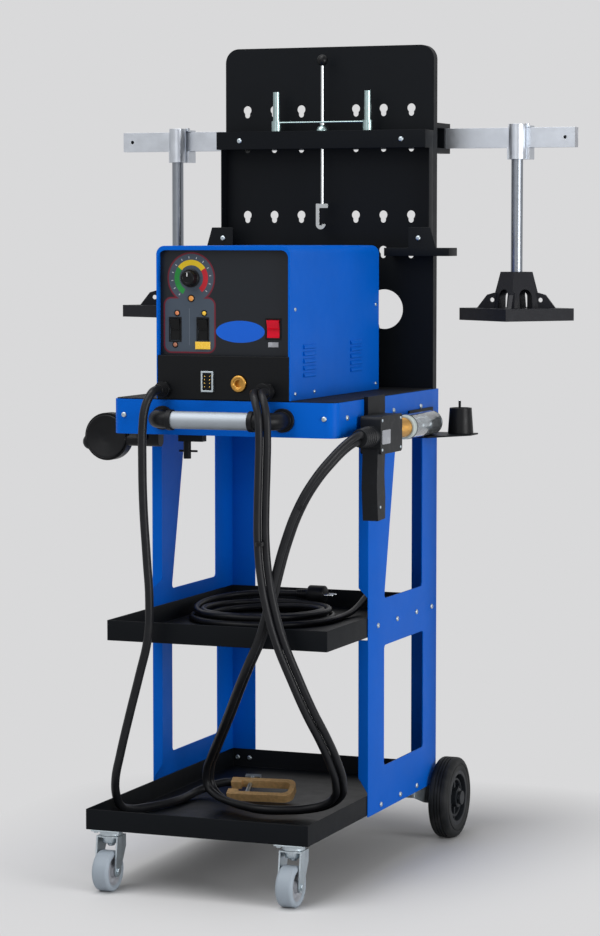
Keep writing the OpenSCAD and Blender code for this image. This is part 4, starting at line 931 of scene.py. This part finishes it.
class STATION_OT_rear_wheels(bpy.types.Operator):
    """Model the grooved tyres and ribbed hubs of the rear wheels, and the axle"""
    bl_idname = "station.rear_wheels"
    bl_label = "Rear wheels"

    def execute(self, context):
        for side, name in zip(SIDES, HANDS):
            centre, r, half = wheel_at(f"{name}_rear_tyre")
            body = f"{name}_rear_wheel"
            tyre = turned(f"{name}_rear_tyre_grooved", self.tyre(r, half), centre, side * X_AXIS, 96)
            fit(tyre, "tyre_black", body, (f"{name}_rear_tyre",))
            hub = joined(f"{name}_rear_hub_ribbed", turned("hub", self.hub(half), centre, side * X_AXIS, 64),
                         self.ribs(centre, side))
            fit(hub, "hub_plastic", body, (f"{name}_rear_hub",))
        cap_thick = 5
        axle = finished("rear_axle", "axle_steel", 1.2, 3)
        cap = box("rear_axle")[1].x - cap_thick
        repaint(axle, "hub_plastic", lambda p: abs(p.x) > cap + 0.01)
        return {"FINISHED"}

    def tyre(self, r, half):
        """Profile of a tyre: bead, sidewall step, rounded shoulders and three grooves."""
        shoulder, bead, step, groove_depth = 9, 54, 1.2, 2
        side = [(half - 1, bead), (half, bead + 3), (half, 64), (half - step, 65), (half - step, 67),
                (half, 68)]
        side += arc(half - shoulder, r - shoulder, shoulder, 0, 90, 7)
        tread = []
        for groove in (6, 0, -6):
            foot = r - groove_depth
            tread += [(groove + 1, r), (groove + 0.7, foot), (groove - 0.7, foot), (groove - 1, r)]
        return mirrored(side, tread)

    def hub(self, half):
        """Profile of a hub: bearing tube, web with a ring and the rim that carries the tyre."""
        return mirrored([
            (half, 8.05), (half, 17), (half - 1, 19), (7, 19), (5, 21), (5, 33), (12, 34), (13, 35),
            (13, 38), (12, 39), (5, 40), (5, 45), (half - 2, 46.5), (half - 1, 47.5), (half - 1, 54)])

    def ribs(self, centre, side):
        """Six spokes between the bearing tube and the ring, on the outer face."""
        rib = block("rib", (4, -2.5, 17), (11, 2.5, 46), 0.8)
        settle(rib, "rib", moved(*centre) @ Matrix.Scale(side, 4, X_AXIS))
        return copied(outwards(rib), "ribs", *around(6, X_AXIS, centre))


class STATION_OT_casters(bpy.types.Operator):
    """Model the caster wheels, the forks with their cups and nuts, and the bolted mounting plates"""
    bl_idname = "station.casters"
    bl_label = "Casters"

    def execute(self, context):
        swivel_y = middle("caster_plates").y
        for name in HANDS:
            centre, r, half = wheel_at(f"{name}_caster_wheel")
            roller, swivel = f"{name}_caster_roller", f"{name}_caster_swivel"
            tread = turned(f"{name}_caster_tread", self.tread(r, half), centre, X_AXIS, 80)
            fit(tread, "tread_grey", roller, (f"{name}_caster_wheel",))
            core = turned(f"{name}_caster_core", self.core(r, half), centre, X_AXIS, 64)
            fit(core, "plate_grey", roller)
            finished(f"{name}_caster_fork", "zinc_steel", 0.8, 3)
            low, high = box(f"{name}_caster_fork")
            cup = turned(f"{name}_caster_cup", self.cup(), (centre.x, swivel_y, high.z - 3), -Z_AXIS)
            fit(cup, "zinc_steel", swivel)
            reach = (high.x - low.x) / 2 - 3
            ends = [facing(side * X_AXIS, centre + side * reach * X_AXIS) for side in SIDES]
            nuts = [plate("nut", self.hexagon(6.5), 2.9, end) for end in ends]
            fit(joined(f"{name}_caster_nuts", *nuts), "zinc_steel", swivel)
        finished("caster_plates", "zinc_steel", 0.6)
        self.bolts()
        return {"FINISHED"}

    def hexagon(self, r):
        """Outline of a nut or a bolt's head from its middle to its corners."""
        return [(r * cos(radians(60 * k)), r * sin(radians(60 * k))) for k in range(6)]

    def bolts(self):
        """Four bolt heads below each mounting plate."""
        plate_half, bolt_off, plate_thick = 28, 21, 3
        low, high = box("caster_plates")
        x, y, z = high.x - plate_half, low.y + plate_half, high.z - plate_thick
        places = [facing(-Z_AXIS, (side * x + bolt_off * a, y + bolt_off * b, z))
                  for side in SIDES for a in SIDES for b in SIDES]
        fit(copied(plate("bolt", self.hexagon(4.55), 3), "caster_bolts", *places), "zinc_steel")

    def cup(self):
        """Profile of the pressed cup under the crown, with the head of the king pin."""
        king_pin = [(12, 9), (12, 7), (16, 6.4), (17, 5), (17, 0)]
        return [(0, 0), (0, 17)] + arc(8, 13, 3.6, 60, 10, 4) + king_pin

    def tread(self, r, half):
        """Profile of the soft tread round the core."""
        return mirrored([(half - 3, r - 11), (half - 1.5, r - 9.5)] + arc(half - 7, r - 7, 7, 15, 90, 7))

    def core(self, r, half):
        """Profile of the hard core with its bearing and a raised ring."""
        rim_r = r - 11.2
        return mirrored([
            (half, 4.05), (half, 9), (half - 1, 11), (half - 7, 12), (half - 8, 13.5), (half - 8, rim_r - 5),
            (half - 6.5, rim_r - 3.5), (half - 4, rim_r - 2), (half - 3, rim_r)])


# ---------------------------------------------------------------- tool board, beam and feet

class STATION_OT_tool_board(bpy.types.Operator):
    """Finish the keyhole board, its shelf and rests, the posts and the puller"""
    bl_idname = "station.tool_board"
    bl_label = "Tool board"

    def execute(self, context):
        sizes = context.scene.station_sizes
        edge, fold = sizes.sheet_edge / MM, sizes.fold / MM
        coat(frame["nodes"]["backboard"].data, "black_paint")
        shelf_low, shelf_high = box("top_shelf")
        finished("top_shelf", "black_paint", edge,
                 folds=(fold, lambda p: p.y < shelf_low.y + NEAR and p.z > shelf_high.z - NEAR))
        rests_front, ledge_z = box("side_rests")[0].y, 1172
        finished("side_rests", "black_paint", edge,
                 folds=(fold, lambda p: p.y < rests_front + NEAR and abs(p.z - ledge_z) < NEAR))
        finished("hanger_posts", "post_steel", 0.7, 3)
        ball_height = 23
        puller = finished("puller_rod", "polished_steel", 0.6)
        ball_foot = box("puller_rod")[1].z - ball_height
        repaint(puller, "knob_black", lambda p: p.z > ball_foot)
        return {"FINISHED"}


class STATION_OT_pulling_beam(bpy.types.Operator):
    """Finish the beam, its brackets, the sliding blocks and the legs"""
    bl_idname = "station.pulling_beam"
    bl_label = "Pulling beam"

    def execute(self, context):
        plug_thick = 3
        beam = finished("pull_beam", "beam_aluminium", 0.8)
        plug = box("pull_beam")[1].x - plug_thick
        repaint(beam, "plate_grey", lambda p: abs(p.x) > plug + 0.02)
        finished("beam_brackets", "black_paint", 0.6)
        for name in HANDS:
            finished(f"{name}_slider", "beam_aluminium", 0.7)
            finished(f"{name}_leg", "leg_aluminium", 0.5)
        return {"FINISHED"}


class STATION_OT_feet(bpy.types.Operator):
    """Finish the two moulded feet and their rubber pads"""
    bl_idname = "station.feet"
    bl_label = "Feet"

    def execute(self, context):
        pad_thick = 12
        for name in HANDS:
            foot = finished(f"{name}_foot", "foot_plastic", 1.4, 3)
            pad_top = box(f"{name}_foot")[0].z + pad_thick
            repaint(foot, "rubber_pad", lambda p: p.z < pad_top)
        return {"FINISHED"}


# ---------------------------------------------------------------- welder

class STATION_OT_welder_case(bpy.types.Operator):
    """Finish the welder's cover and base, press the hoods of its louvres and set its screws"""
    bl_idname = "station.welder_case"
    bl_label = "Welder case"

    def execute(self, context):
        finished("welder_cover", "blue_paint", 0.6)
        finished("welder_base", "black_paint", 0.5)
        low, high = box("welder_cover")
        self.louvres(low, high)
        front, back, foot, head = low.y + 24, high.y - 20, low.z + 12, low.z + 165
        spots = [(s * X_AXIS, (s * high.x, y, z)) for s in SIDES
                 for y, z in ((front, foot), (low.y + 120, foot), (front, head), (back, foot), (back, head))]
        screws("cover_screws", spots, 0.7)
        return {"FINISHED"}

    def louvres(self, low, high):
        """Hoods of the louvres: two banks of five on each side of the cover."""
        hood_length, rows, pitch, first_row = 60, 5, 13, 40
        banks = (66, 310)
        hood_points = [(0, 1), (2.2, 0), (3, 1.5), (3, 4), (1.6, 7.5), (0, 9)]
        lying = Matrix(((1, 0, 0, 0), (0, 0, 1, 0), (0, 1, 0, 0), (0, 0, 0, 1)))
        places = [moved(side * (high.x - 0.1), low.y + bank, low.z + first_row + pitch * row)
                  @ Matrix.Scale(side, 4, X_AXIS) @ lying
                  for side in SIDES for bank in banks for row in range(rows)]
        hoods = copied(plate("hood", hood_points, hood_length, edge=0.8), "cover_louvres", *places)
        fit(smooth(outwards(hoods)), "blue_paint")


class STATION_OT_welder_front(bpy.types.Operator):
    """Print the front panel and fit its lower moulding, knob, rockers and lamps"""
    bl_idname = "station.welder_front"
    bl_label = "Welder front"

    def execute(self, context):
        panel = finished("welder_front", "panel_dark", 0.4)
        face = box("welder_front")[0].y
        repaint(panel, "moulding_black", lambda p: p.y > face + 0.5)
        finished("welder_moulding", "moulding_black", 1.6, 3)
        self.knob(face)
        for node, finish in (("left_rocker", "rocker_black"), ("right_rocker", "rocker_black"),
                             ("power_rocker", "rocker_red")):
            finished(node, finish, 0.8, 3)
            self.bezel(node, face)
        self.lamps(face)
        return {"FINISHED"}

    def bezel(self, node, face):
        """Thin frame round a rocker."""
        border, around_it, thick = 2.6, 7, 1.2
        low, high = box(node)
        width, height = high.x - low.x + around_it, high.z - low.z + around_it
        place = facing(-Y_AXIS, ((low.x + high.x) / 2, face, (low.z + high.z) / 2))
        fit(rim(f"{node}_bezel", width, height, border, thick, place), "rocker_black")

    def knob(self, face):
        """Ribbed knob with a skirt, its shaft and a white pointer."""
        start = (KNOB[0], face - 0.4, KNOB[1])
        profile = [(-11, 0), (-11, 3), (0, 3), (0, 16.4), (0.6, 17), (2.6, 17), (3.6, 15), (5, 14)]
        profile += arc(17, 11, 2.5, 90, 0) + [(19.5, 9), (18.6, 8), (18.6, 0)]
        body = turned("knob", profile, start, -Y_AXIS, 64)
        rib = block("knob_rib", (-0.7, -17, 12.6), (0.7, -4.6, 14.6), 0.4)
        ribs = copied(rib, "knob_ribs", *[moved(*start) @ turn for turn in around(24, Y_AXIS)])
        fit(joined("current_knob_ribbed", body, ribs), "knob_black", "knob", ("current_knob",))
        mark = block("current_knob_pointer", (-0.8, -19.7, 3), (0.8, -18.4, 10.4), 0.2)
        fit(settle(mark, "current_knob_pointer", moved(*start)), "mark_white", "knob")

    def lamps(self, face):
        """Domed lenses in thin rims, one wide lens, and a plain plate below the power switch."""
        lenses, rims = [], []
        for x, z, r in LAMPS:
            lens = [(-1, 0), (-1, r - 1), (0.8, r - 1)] + arc(0.6, r - 2.4, 1.4, 90, 10, 4) + [(2.0, 0)]
            lenses.append(turned("lens", lens, (x, face, z), -Y_AXIS, 32))
            ring = [(0, r - 1), (0, r + 0.8), (0.7, r + 0.8), (1.4, r), (1.4, r - 1)]
            rims.append(turned("ring", ring, (x, face, z), -Y_AXIS, 32))
        x, z = LIT_PLATE
        lenses.append(block("lit_plate", (x - 15, face - 1.9, z - 7), (x + 15, face, z + 7), 0.8))
        fit(joined("lamp_lenses", *lenses), "lamp_amber", replaces=("indicator_lamps",))
        fit(joined("lamp_rims", *rims), "rocker_black")
        x, z = middle("power_rocker").x, box("power_rocker")[0].z - 8
        sign = block("power_plate", (x - 10, face - 0.8, z - 9), (x + 10, face, z), 0.3)
        fit(sign, "plate_grey")


class STATION_OT_connectors(bpy.types.Operator):
    """Model the control socket, the brass socket and the three cable glands"""
    bl_idname = "station.connectors"
    bl_label = "Connectors"

    def execute(self, context):
        front = box("welder_shelf")[0].y
        self.control_socket(front)
        for name, place, out, base, tip, long, sides in (
                ("earth_gland", (-118, front, 914), -Y_AXIS, 16, 10, 26, 6),
                ("gun_gland", (88, front, 914), -Y_AXIS, 16, 15.5, 26, 6),
                ("mains_gland", (88, box("welder_base")[1].y, 1038), Y_AXIS, 12, 7.5, 22, 8)):
            flange = [(0, 0), (0, base - 0.4), (0.5, base), (6, base), (6.6, base - 0.8), (6.6, 0)]
            nut = turned("nut", flange, place, out, sides)
            relief = turned("relief", self.relief(base - 0.6, tip, long), place, out, 40)
            fit(joined(name, nut, relief), "plug_black")
        collar = [(0, 7), (0, 15), (7, 15), (10, 15), (10.6, 14.6), (11, 14), (11, 10.4), (10, 9.6), (10, 8),
                  (9.4, 7)]
        floor = [(-3, 0), (-3, 15), (0, 15), (0, 0)]
        x, _, z = middle("brass_socket")
        start = (x, box("brass_socket")[0].y + 11, z)
        brass = [turned(name, profile, start, -Y_AXIS, 56)
                 for name, profile in (("brass_socket_turned", collar), ("socket_floor", floor))]
        fit(joined("brass_socket_turned", *brass), "brass", replaces=("brass_socket",))
        return {"FINISHED"}

    def control_socket(self, front):
        """Square shell with eight gilt pins in its core."""
        x, z, width, height, wall, depth = -29, 930, 24, 38, 3, 6
        shell = rim("socket_shell", width, height, wall, depth, facing(-Y_AXIS, (x, front, z)))
        fit(shell, "zinc_steel", replaces=("front_connectors",))
        half_x, half_z, core_face = width / 2 - wall, height / 2 - wall, front - 3
        fit(block("socket_core", (x - half_x, core_face, z - half_z), (x + half_x, front, z + half_z), 0.4),
            "moulding_black")
        pin = turned("pin", [(0, 0), (0, 1.1), (2, 1.1), (2.4, 0.7), (2.4, 0)], axis=-Y_AXIS, steps=12)
        places = [moved(x + 5 * a, core_face, z + 6.5 * b) for a in SIDES for b in (-1.5, -0.5, 0.5, 1.5)]
        fit(copied(pin, "socket_pins", *places), "gold_pin")

    def relief(self, base, tip, long):
        """Profile of a tapered, ribbed strain relief."""
        profile = [(6, 0), (6, base - 1.2), (8, base - 0.4), (9.5, base - 1)]
        count, groove = 4, 0.9
        step = (long - 10) / count
        for k in range(count):
            r = base - 1 + (tip - base + 1) * (k + 1) / count
            along = 9.8 + step * k
            profile += [(along, r - groove), (along + 1, r - groove), (along + 1.4, r),
                        (along + step - 0.3, r)]
        return profile + [(long, tip - 0.6), (long, 0)]


class STATION_OT_insides(bpy.types.Operator):
    """Finish the transformer and the circuit board inside the welder"""
    bl_idname = "station.insides"
    bl_label = "Insides"

    def execute(self, context):
        finished("transformer", "core_iron", 0.8)
        finished("circuit_board", "board_green", 0.2)
        return {"FINISHED"}


# ---------------------------------------------------------------- gun, side tools and clamp

class STATION_OT_spot_gun(bpy.types.Operator):
    """Finish the gun and its trigger, and model its core, ring, clear nose and spring"""
    bl_idname = "station.spot_gun"
    bl_label = "Spot gun"

    def execute(self, context):
        finished("gun_body", "gun_plastic", 2.6, 4)
        finished("gun_trigger", "knob_black", 1.2, 3)
        low, high = box("gun_collar")
        x, _, z = middle("gun_collar")
        self.core((x, low.y, z), high.y - low.y)
        ring_y, ring_wide, nose_end = box("gun_nose")[0].y, 16, box("gun_nose")[1].y
        ring = [(0.3, 0), (0.3, 21)] + arc(3, 20, 3, 180, 90) + arc(13, 20, 3, 90, 0) + [(ring_wide, 0)]
        fit(turned("gun_nose_ring", ring, (x, ring_y, z), Y_AXIS, 56), "ring_clear",
            replaces=("gun_nose",))
        start, long = (x, ring_y + ring_wide, z), nose_end - ring_y - ring_wide
        self.nose(start, long)
        self.spring(start, long)
        self.body_details()
        return {"FINISHED"}

    def core(self, start, long):
        """Brass core of the gun with nine turned grooves."""
        outer, groove = 18.5, 17.6
        core = [(0, 0), (0, outer)]
        for k in range(9):
            y = 4 + 6 * k
            core += [(y, outer), (y + 0.6, groove), (y + 2.4, groove), (y + 3, outer)]
        core += [(long - 1, outer), (long, outer - 1), (long, 0)]
        fit(turned("gun_core_turned", core, start, Y_AXIS), "brass", replaces=("gun_collar",))

    def nose(self, start, long):
        """Clear tube with the cap and the band that hold it, and the electrode inside."""
        outer = 23.5
        inner = outer - 3
        tube = [(0.2, inner), (0.2, outer), (long - 5, outer), (long - 4.6, outer - 0.6),
                (long - 4.6, inner)]
        fit(turned("gun_nose_tube", tube, start, Y_AXIS, 64), "clear_nose")
        cap = [(long - 4.4, 0), (long - 4.4, outer - 0.8), (long - 4, outer), (long - 1, outer),
               (long, outer - 1), (long, 0)]
        band = [(4, inner - 0.2), (4, inner), (5, inner), (5, inner - 0.2)]
        caps = [turned(name, profile, start, Y_AXIS, 56) for name, profile in (("cap", cap), ("band", band))]
        fit(joined("gun_nose_cap", *caps), "gun_plastic")
        rod = [(0, 0), (0, 9), (20, 9), (22, 6), (long - 30, 6), (long - 28, 10), (long - 6, 10),
               (long - 5, 0)]
        fit(turned("gun_electrode", rod, start, Y_AXIS, 40), "polished_steel")

    def spring(self, start, long):
        """Spring round the electrode inside the clear tube."""
        turns, per_turn, radius, wire = 11, 12, 14, 2.6
        first, free = 8, long - 50
        points = []
        for k in range(turns * per_turn + 1):
            angle, along = 2 * pi * k / per_turn, first + free * k / (turns * per_turn)
            points.append((start[0] + radius * cos(angle), start[1] + along, start[2] + radius * sin(angle)))
        pick(cable("gun_spring", points, wire * MM, 2))
        bpy.ops.object.convert(target="MESH")
        fit(smooth(bpy.context.active_object), "polished_steel")

    def body_details(self):
        """Rings of the boot, screws and a plain plate on the gun's body."""
        low, x = box("gun_body")[0], middle("gun_body").x
        boot_z, pitch, swelling = 830, 9, 0.55
        rings = []
        for k in range(5):
            r = 16.4 + swelling * k
            ring = [(0, r - 2), (0, r), (1, r + 0.9), (3, r + 0.9), (4, r), (4, r - 2)]
            rings.append(turned("ring", ring, (x, low.y + 6 + pitch * k, boot_z), Y_AXIS, 40))
        fit(joined("gun_boot_rings", *rings), "cable_rubber")
        spots = [(s * X_AXIS, (x + s * 20, y, z)) for s in SIDES for y in (-172, -72) for z in (805, 859)]
        spots += [(s * X_AXIS, (x + s * 15, -168, 700)) for s in SIDES]
        screws("gun_screws", spots, 0.6)
        outline, place = corners(-22, -13, 22, 13, 2), facing(X_AXIS, (x + 19.9, -150, 828))
        fit(plate("gun_plate", outline, 0.8, place, 0.2), "plate_grey")


class STATION_OT_side_tools(bpy.types.Operator):
    """Finish the tool brackets, the cup with its pin and the round tool"""
    bl_idname = "station.side_tools"
    bl_label = "Side tools"

    def execute(self, context):
        finished("tool_brackets", "black_paint", 0.6)
        pin_height = 14
        cup = finished("tool_cup", "tool_iron", 0.8, 3)
        pin_foot = box("tool_cup")[1].z - pin_height
        repaint(cup, "polished_steel", lambda p: p.z > pin_foot)
        finished("disc_tool", "tool_iron", 1.6, 3)
        disc_x, disc_z = -280, 817
        rings = [(0, 0), (0, 14), (0.6, 15), (0.6, 36), (1.2, 37), (1.2, 40), (0, 41), (-2, 41), (-2, 0)]
        start = (disc_x, box("disc_tool")[0].y + 1.2, disc_z)
        fit(turned("disc_tool_face", rings, start, -Y_AXIS, 64), "tool_iron")
        return {"FINISHED"}


class STATION_OT_earth_clamp(bpy.types.Operator):
    """Finish the brass earth clamp and its screw"""
    bl_idname = "station.earth_clamp"
    bl_label = "Earth clamp"

    def execute(self, context):
        finished("clamp_frame", "cast_brass", 1.6, 3)
        finished("clamp_screw", "zinc_steel", 1.0, 3)
        return {"FINISHED"}


# ---------------------------------------------------------------- camera and stage

# Lamps: place in millimetres, width in metres and power in watts. All look at the middle of the station.
LAMPLIGHT = (("key_light", (-1500, -2600, 4300), 3.4, 114), ("right_light", (4200, -1500, 900), 2.4, 134),
             ("front_light", (300, -4600, 2600), 2.6, 24), ("top_light", (-200, -300, 4400), 1.8, 55))
SKY_STRENGTH = 0.24


def aim(thing, stands, looks):
    """Turns a camera or a lamp so that it looks from one point to another."""
    thing.rotation_mode = "QUATERNION"
    thing.rotation_quaternion = (looks - stands).to_track_quat("-Z", "Y")


class STATION_OT_camera(bpy.types.Operator):
    """Set up the camera in front of the station's right corner"""
    bl_idname = "station.camera"
    bl_label = "Camera"

    def execute(self, context):
        stands, looks = at(2092.6, -5208.1, 1193.8), at(90.3, -125, 763.8)
        pick()
        bpy.ops.object.camera_add(location=stands)
        camera = bpy.context.active_object
        camera.name = "station_camera"
        aim(camera, stands, looks)
        camera.data.sensor_width = 36
        camera.data.lens = context.scene.station_stage.lens
        camera.data.clip_start, camera.data.clip_end = 0.05, 100
        context.scene.camera = camera
        return {"FINISHED"}


class STATION_OT_stage(bpy.types.Operator):
    """Lay the pale floor and light the station softly"""
    bl_idname = "station.stage"
    bl_label = "Stage"

    def execute(self, context):
        backdrop = tuple(context.scene.station_stage.backdrop)
        self.floor(backdrop)
        self.world(context.scene, backdrop)
        for name, place, size, power in LAMPLIGHT:
            pick()
            bpy.ops.object.light_add(type="AREA", location=at(*place))
            lamp = bpy.context.active_object
            lamp.name = name
            lamp.data.size, lamp.data.energy = size, power
            aim(lamp, at(*place), at(0, 0, 750))
        return {"FINISHED"}

    def floor(self, backdrop):
        """Floor that keeps the station's shadow and fades into the backdrop farther out."""
        half_x, half_y, fade_from, fade_to = 250, 440, 20, 450
        pick()
        bpy.ops.mesh.primitive_circle_add(vertices=96, radius=30, fill_type="NGON")
        floor = settle(bpy.context.active_object, "floor")
        paint = Paint("studio_floor", specular_ior_level=0.1)
        x, y, _ = paint.axes()
        out_x, out_y = (abs(x) - half_x).at_least(0), (abs(y) - half_y).at_least(0)
        far = ((out_x * out_x + out_y * out_y) ** 0.5).ramp(fade_from, fade_to)
        cloud = paint.noise(700, 2.0)
        paint.set(base_color=paint.mix(cloud, tone(backdrop, 0.97), backdrop), roughness=0.6 + cloud * 0.05)
        near = Value(paint, paint.shader.outputs[0])
        glow = paint.node("ShaderNodeEmission", {}, {"Color": backdrop, "Strength": 1.0})
        blend = paint.node("ShaderNodeMixShader", {}, {0: far, 1: near, 2: glow})
        paint.plug(paint.nodes["Material Output"].inputs["Surface"], blend)
        floor.data.materials.append(paint.material)

    def world(self, scene, backdrop):
        """Backdrop for the camera, for mirrors and for glass, and a plain grey light for all else."""
        scene.world = bpy.data.worlds.new("studio")
        sky = NodeTree(scene.world)
        plain = sky.nodes["Background"]
        sky.plug(plain.inputs["Color"], (1, 1, 1))
        sky.plug(plain.inputs["Strength"], SKY_STRENGTH)
        seen = sky.node("ShaderNodeBackground", {}, {"Color": backdrop})
        camera, glossy, clear = (sky.node("ShaderNodeLightPath", output=ray) for ray in
                                 ("Is Camera Ray", "Is Glossy Ray", "Is Transmission Ray"))
        direct = camera.at_least(glossy.at_least(clear))
        blend = sky.node("ShaderNodeMixShader", {}, {0: direct, 1: Value(sky, plain.outputs[0]), 2: seen})
        sky.plug(sky.nodes["World Output"].inputs["Surface"], blend)
        scene.view_settings.view_transform = "Standard"


STEPS = (STATION_OT_camera, STATION_OT_stage, STATION_OT_earth_clamp, STATION_OT_cables,
         STATION_OT_sheet_metal, STATION_OT_screws, STATION_OT_handle, STATION_OT_rear_wheels,
         STATION_OT_casters, STATION_OT_tool_board, STATION_OT_pulling_beam, STATION_OT_feet,
         STATION_OT_welder_case, STATION_OT_welder_front, STATION_OT_connectors, STATION_OT_insides,
         STATION_OT_spot_gun, STATION_OT_side_tools)
GROUPS = (("station_colours", StationColours), ("station_sizes", StationSizes),
          ("station_stage", StationStage))


class STATION_PT_panel(bpy.types.Panel):
    """Lists the station's pieces and its sizes"""
    bl_label = "Station"
    bl_idname = "STATION_PT_panel"
    bl_space_type = "VIEW_3D"
    bl_region_type = "UI"
    bl_category = "Station"

    def draw(self, context):
        for place, kind in GROUPS:
            for name in kind.__annotations__:
                self.layout.prop(getattr(context.scene, place), name)
        for step in STEPS:
            self.layout.operator(step.bl_idname)


def register():
    for name, group in GROUPS:
        bpy.utils.register_class(group)
        setattr(bpy.types.Scene, name, PointerProperty(type=group))
    for step in STEPS:
        bpy.utils.register_class(step)
    bpy.utils.register_class(STATION_PT_panel)


def unregister():
    bpy.utils.unregister_class(STATION_PT_panel)
    for step in reversed(STEPS):
        bpy.utils.unregister_class(step)
    for name, group in reversed(GROUPS):
        delattr(bpy.types.Scene, name)
        bpy.utils.unregister_class(group)


def main():
    """Builds the whole station."""
    register()
    mix_paints(bpy.context.scene.station_colours)
    for step in STEPS:
        group, name = step.bl_idname.split(".")
        getattr(getattr(bpy.ops, group), name)()


if __name__ == "__main__":
    main()
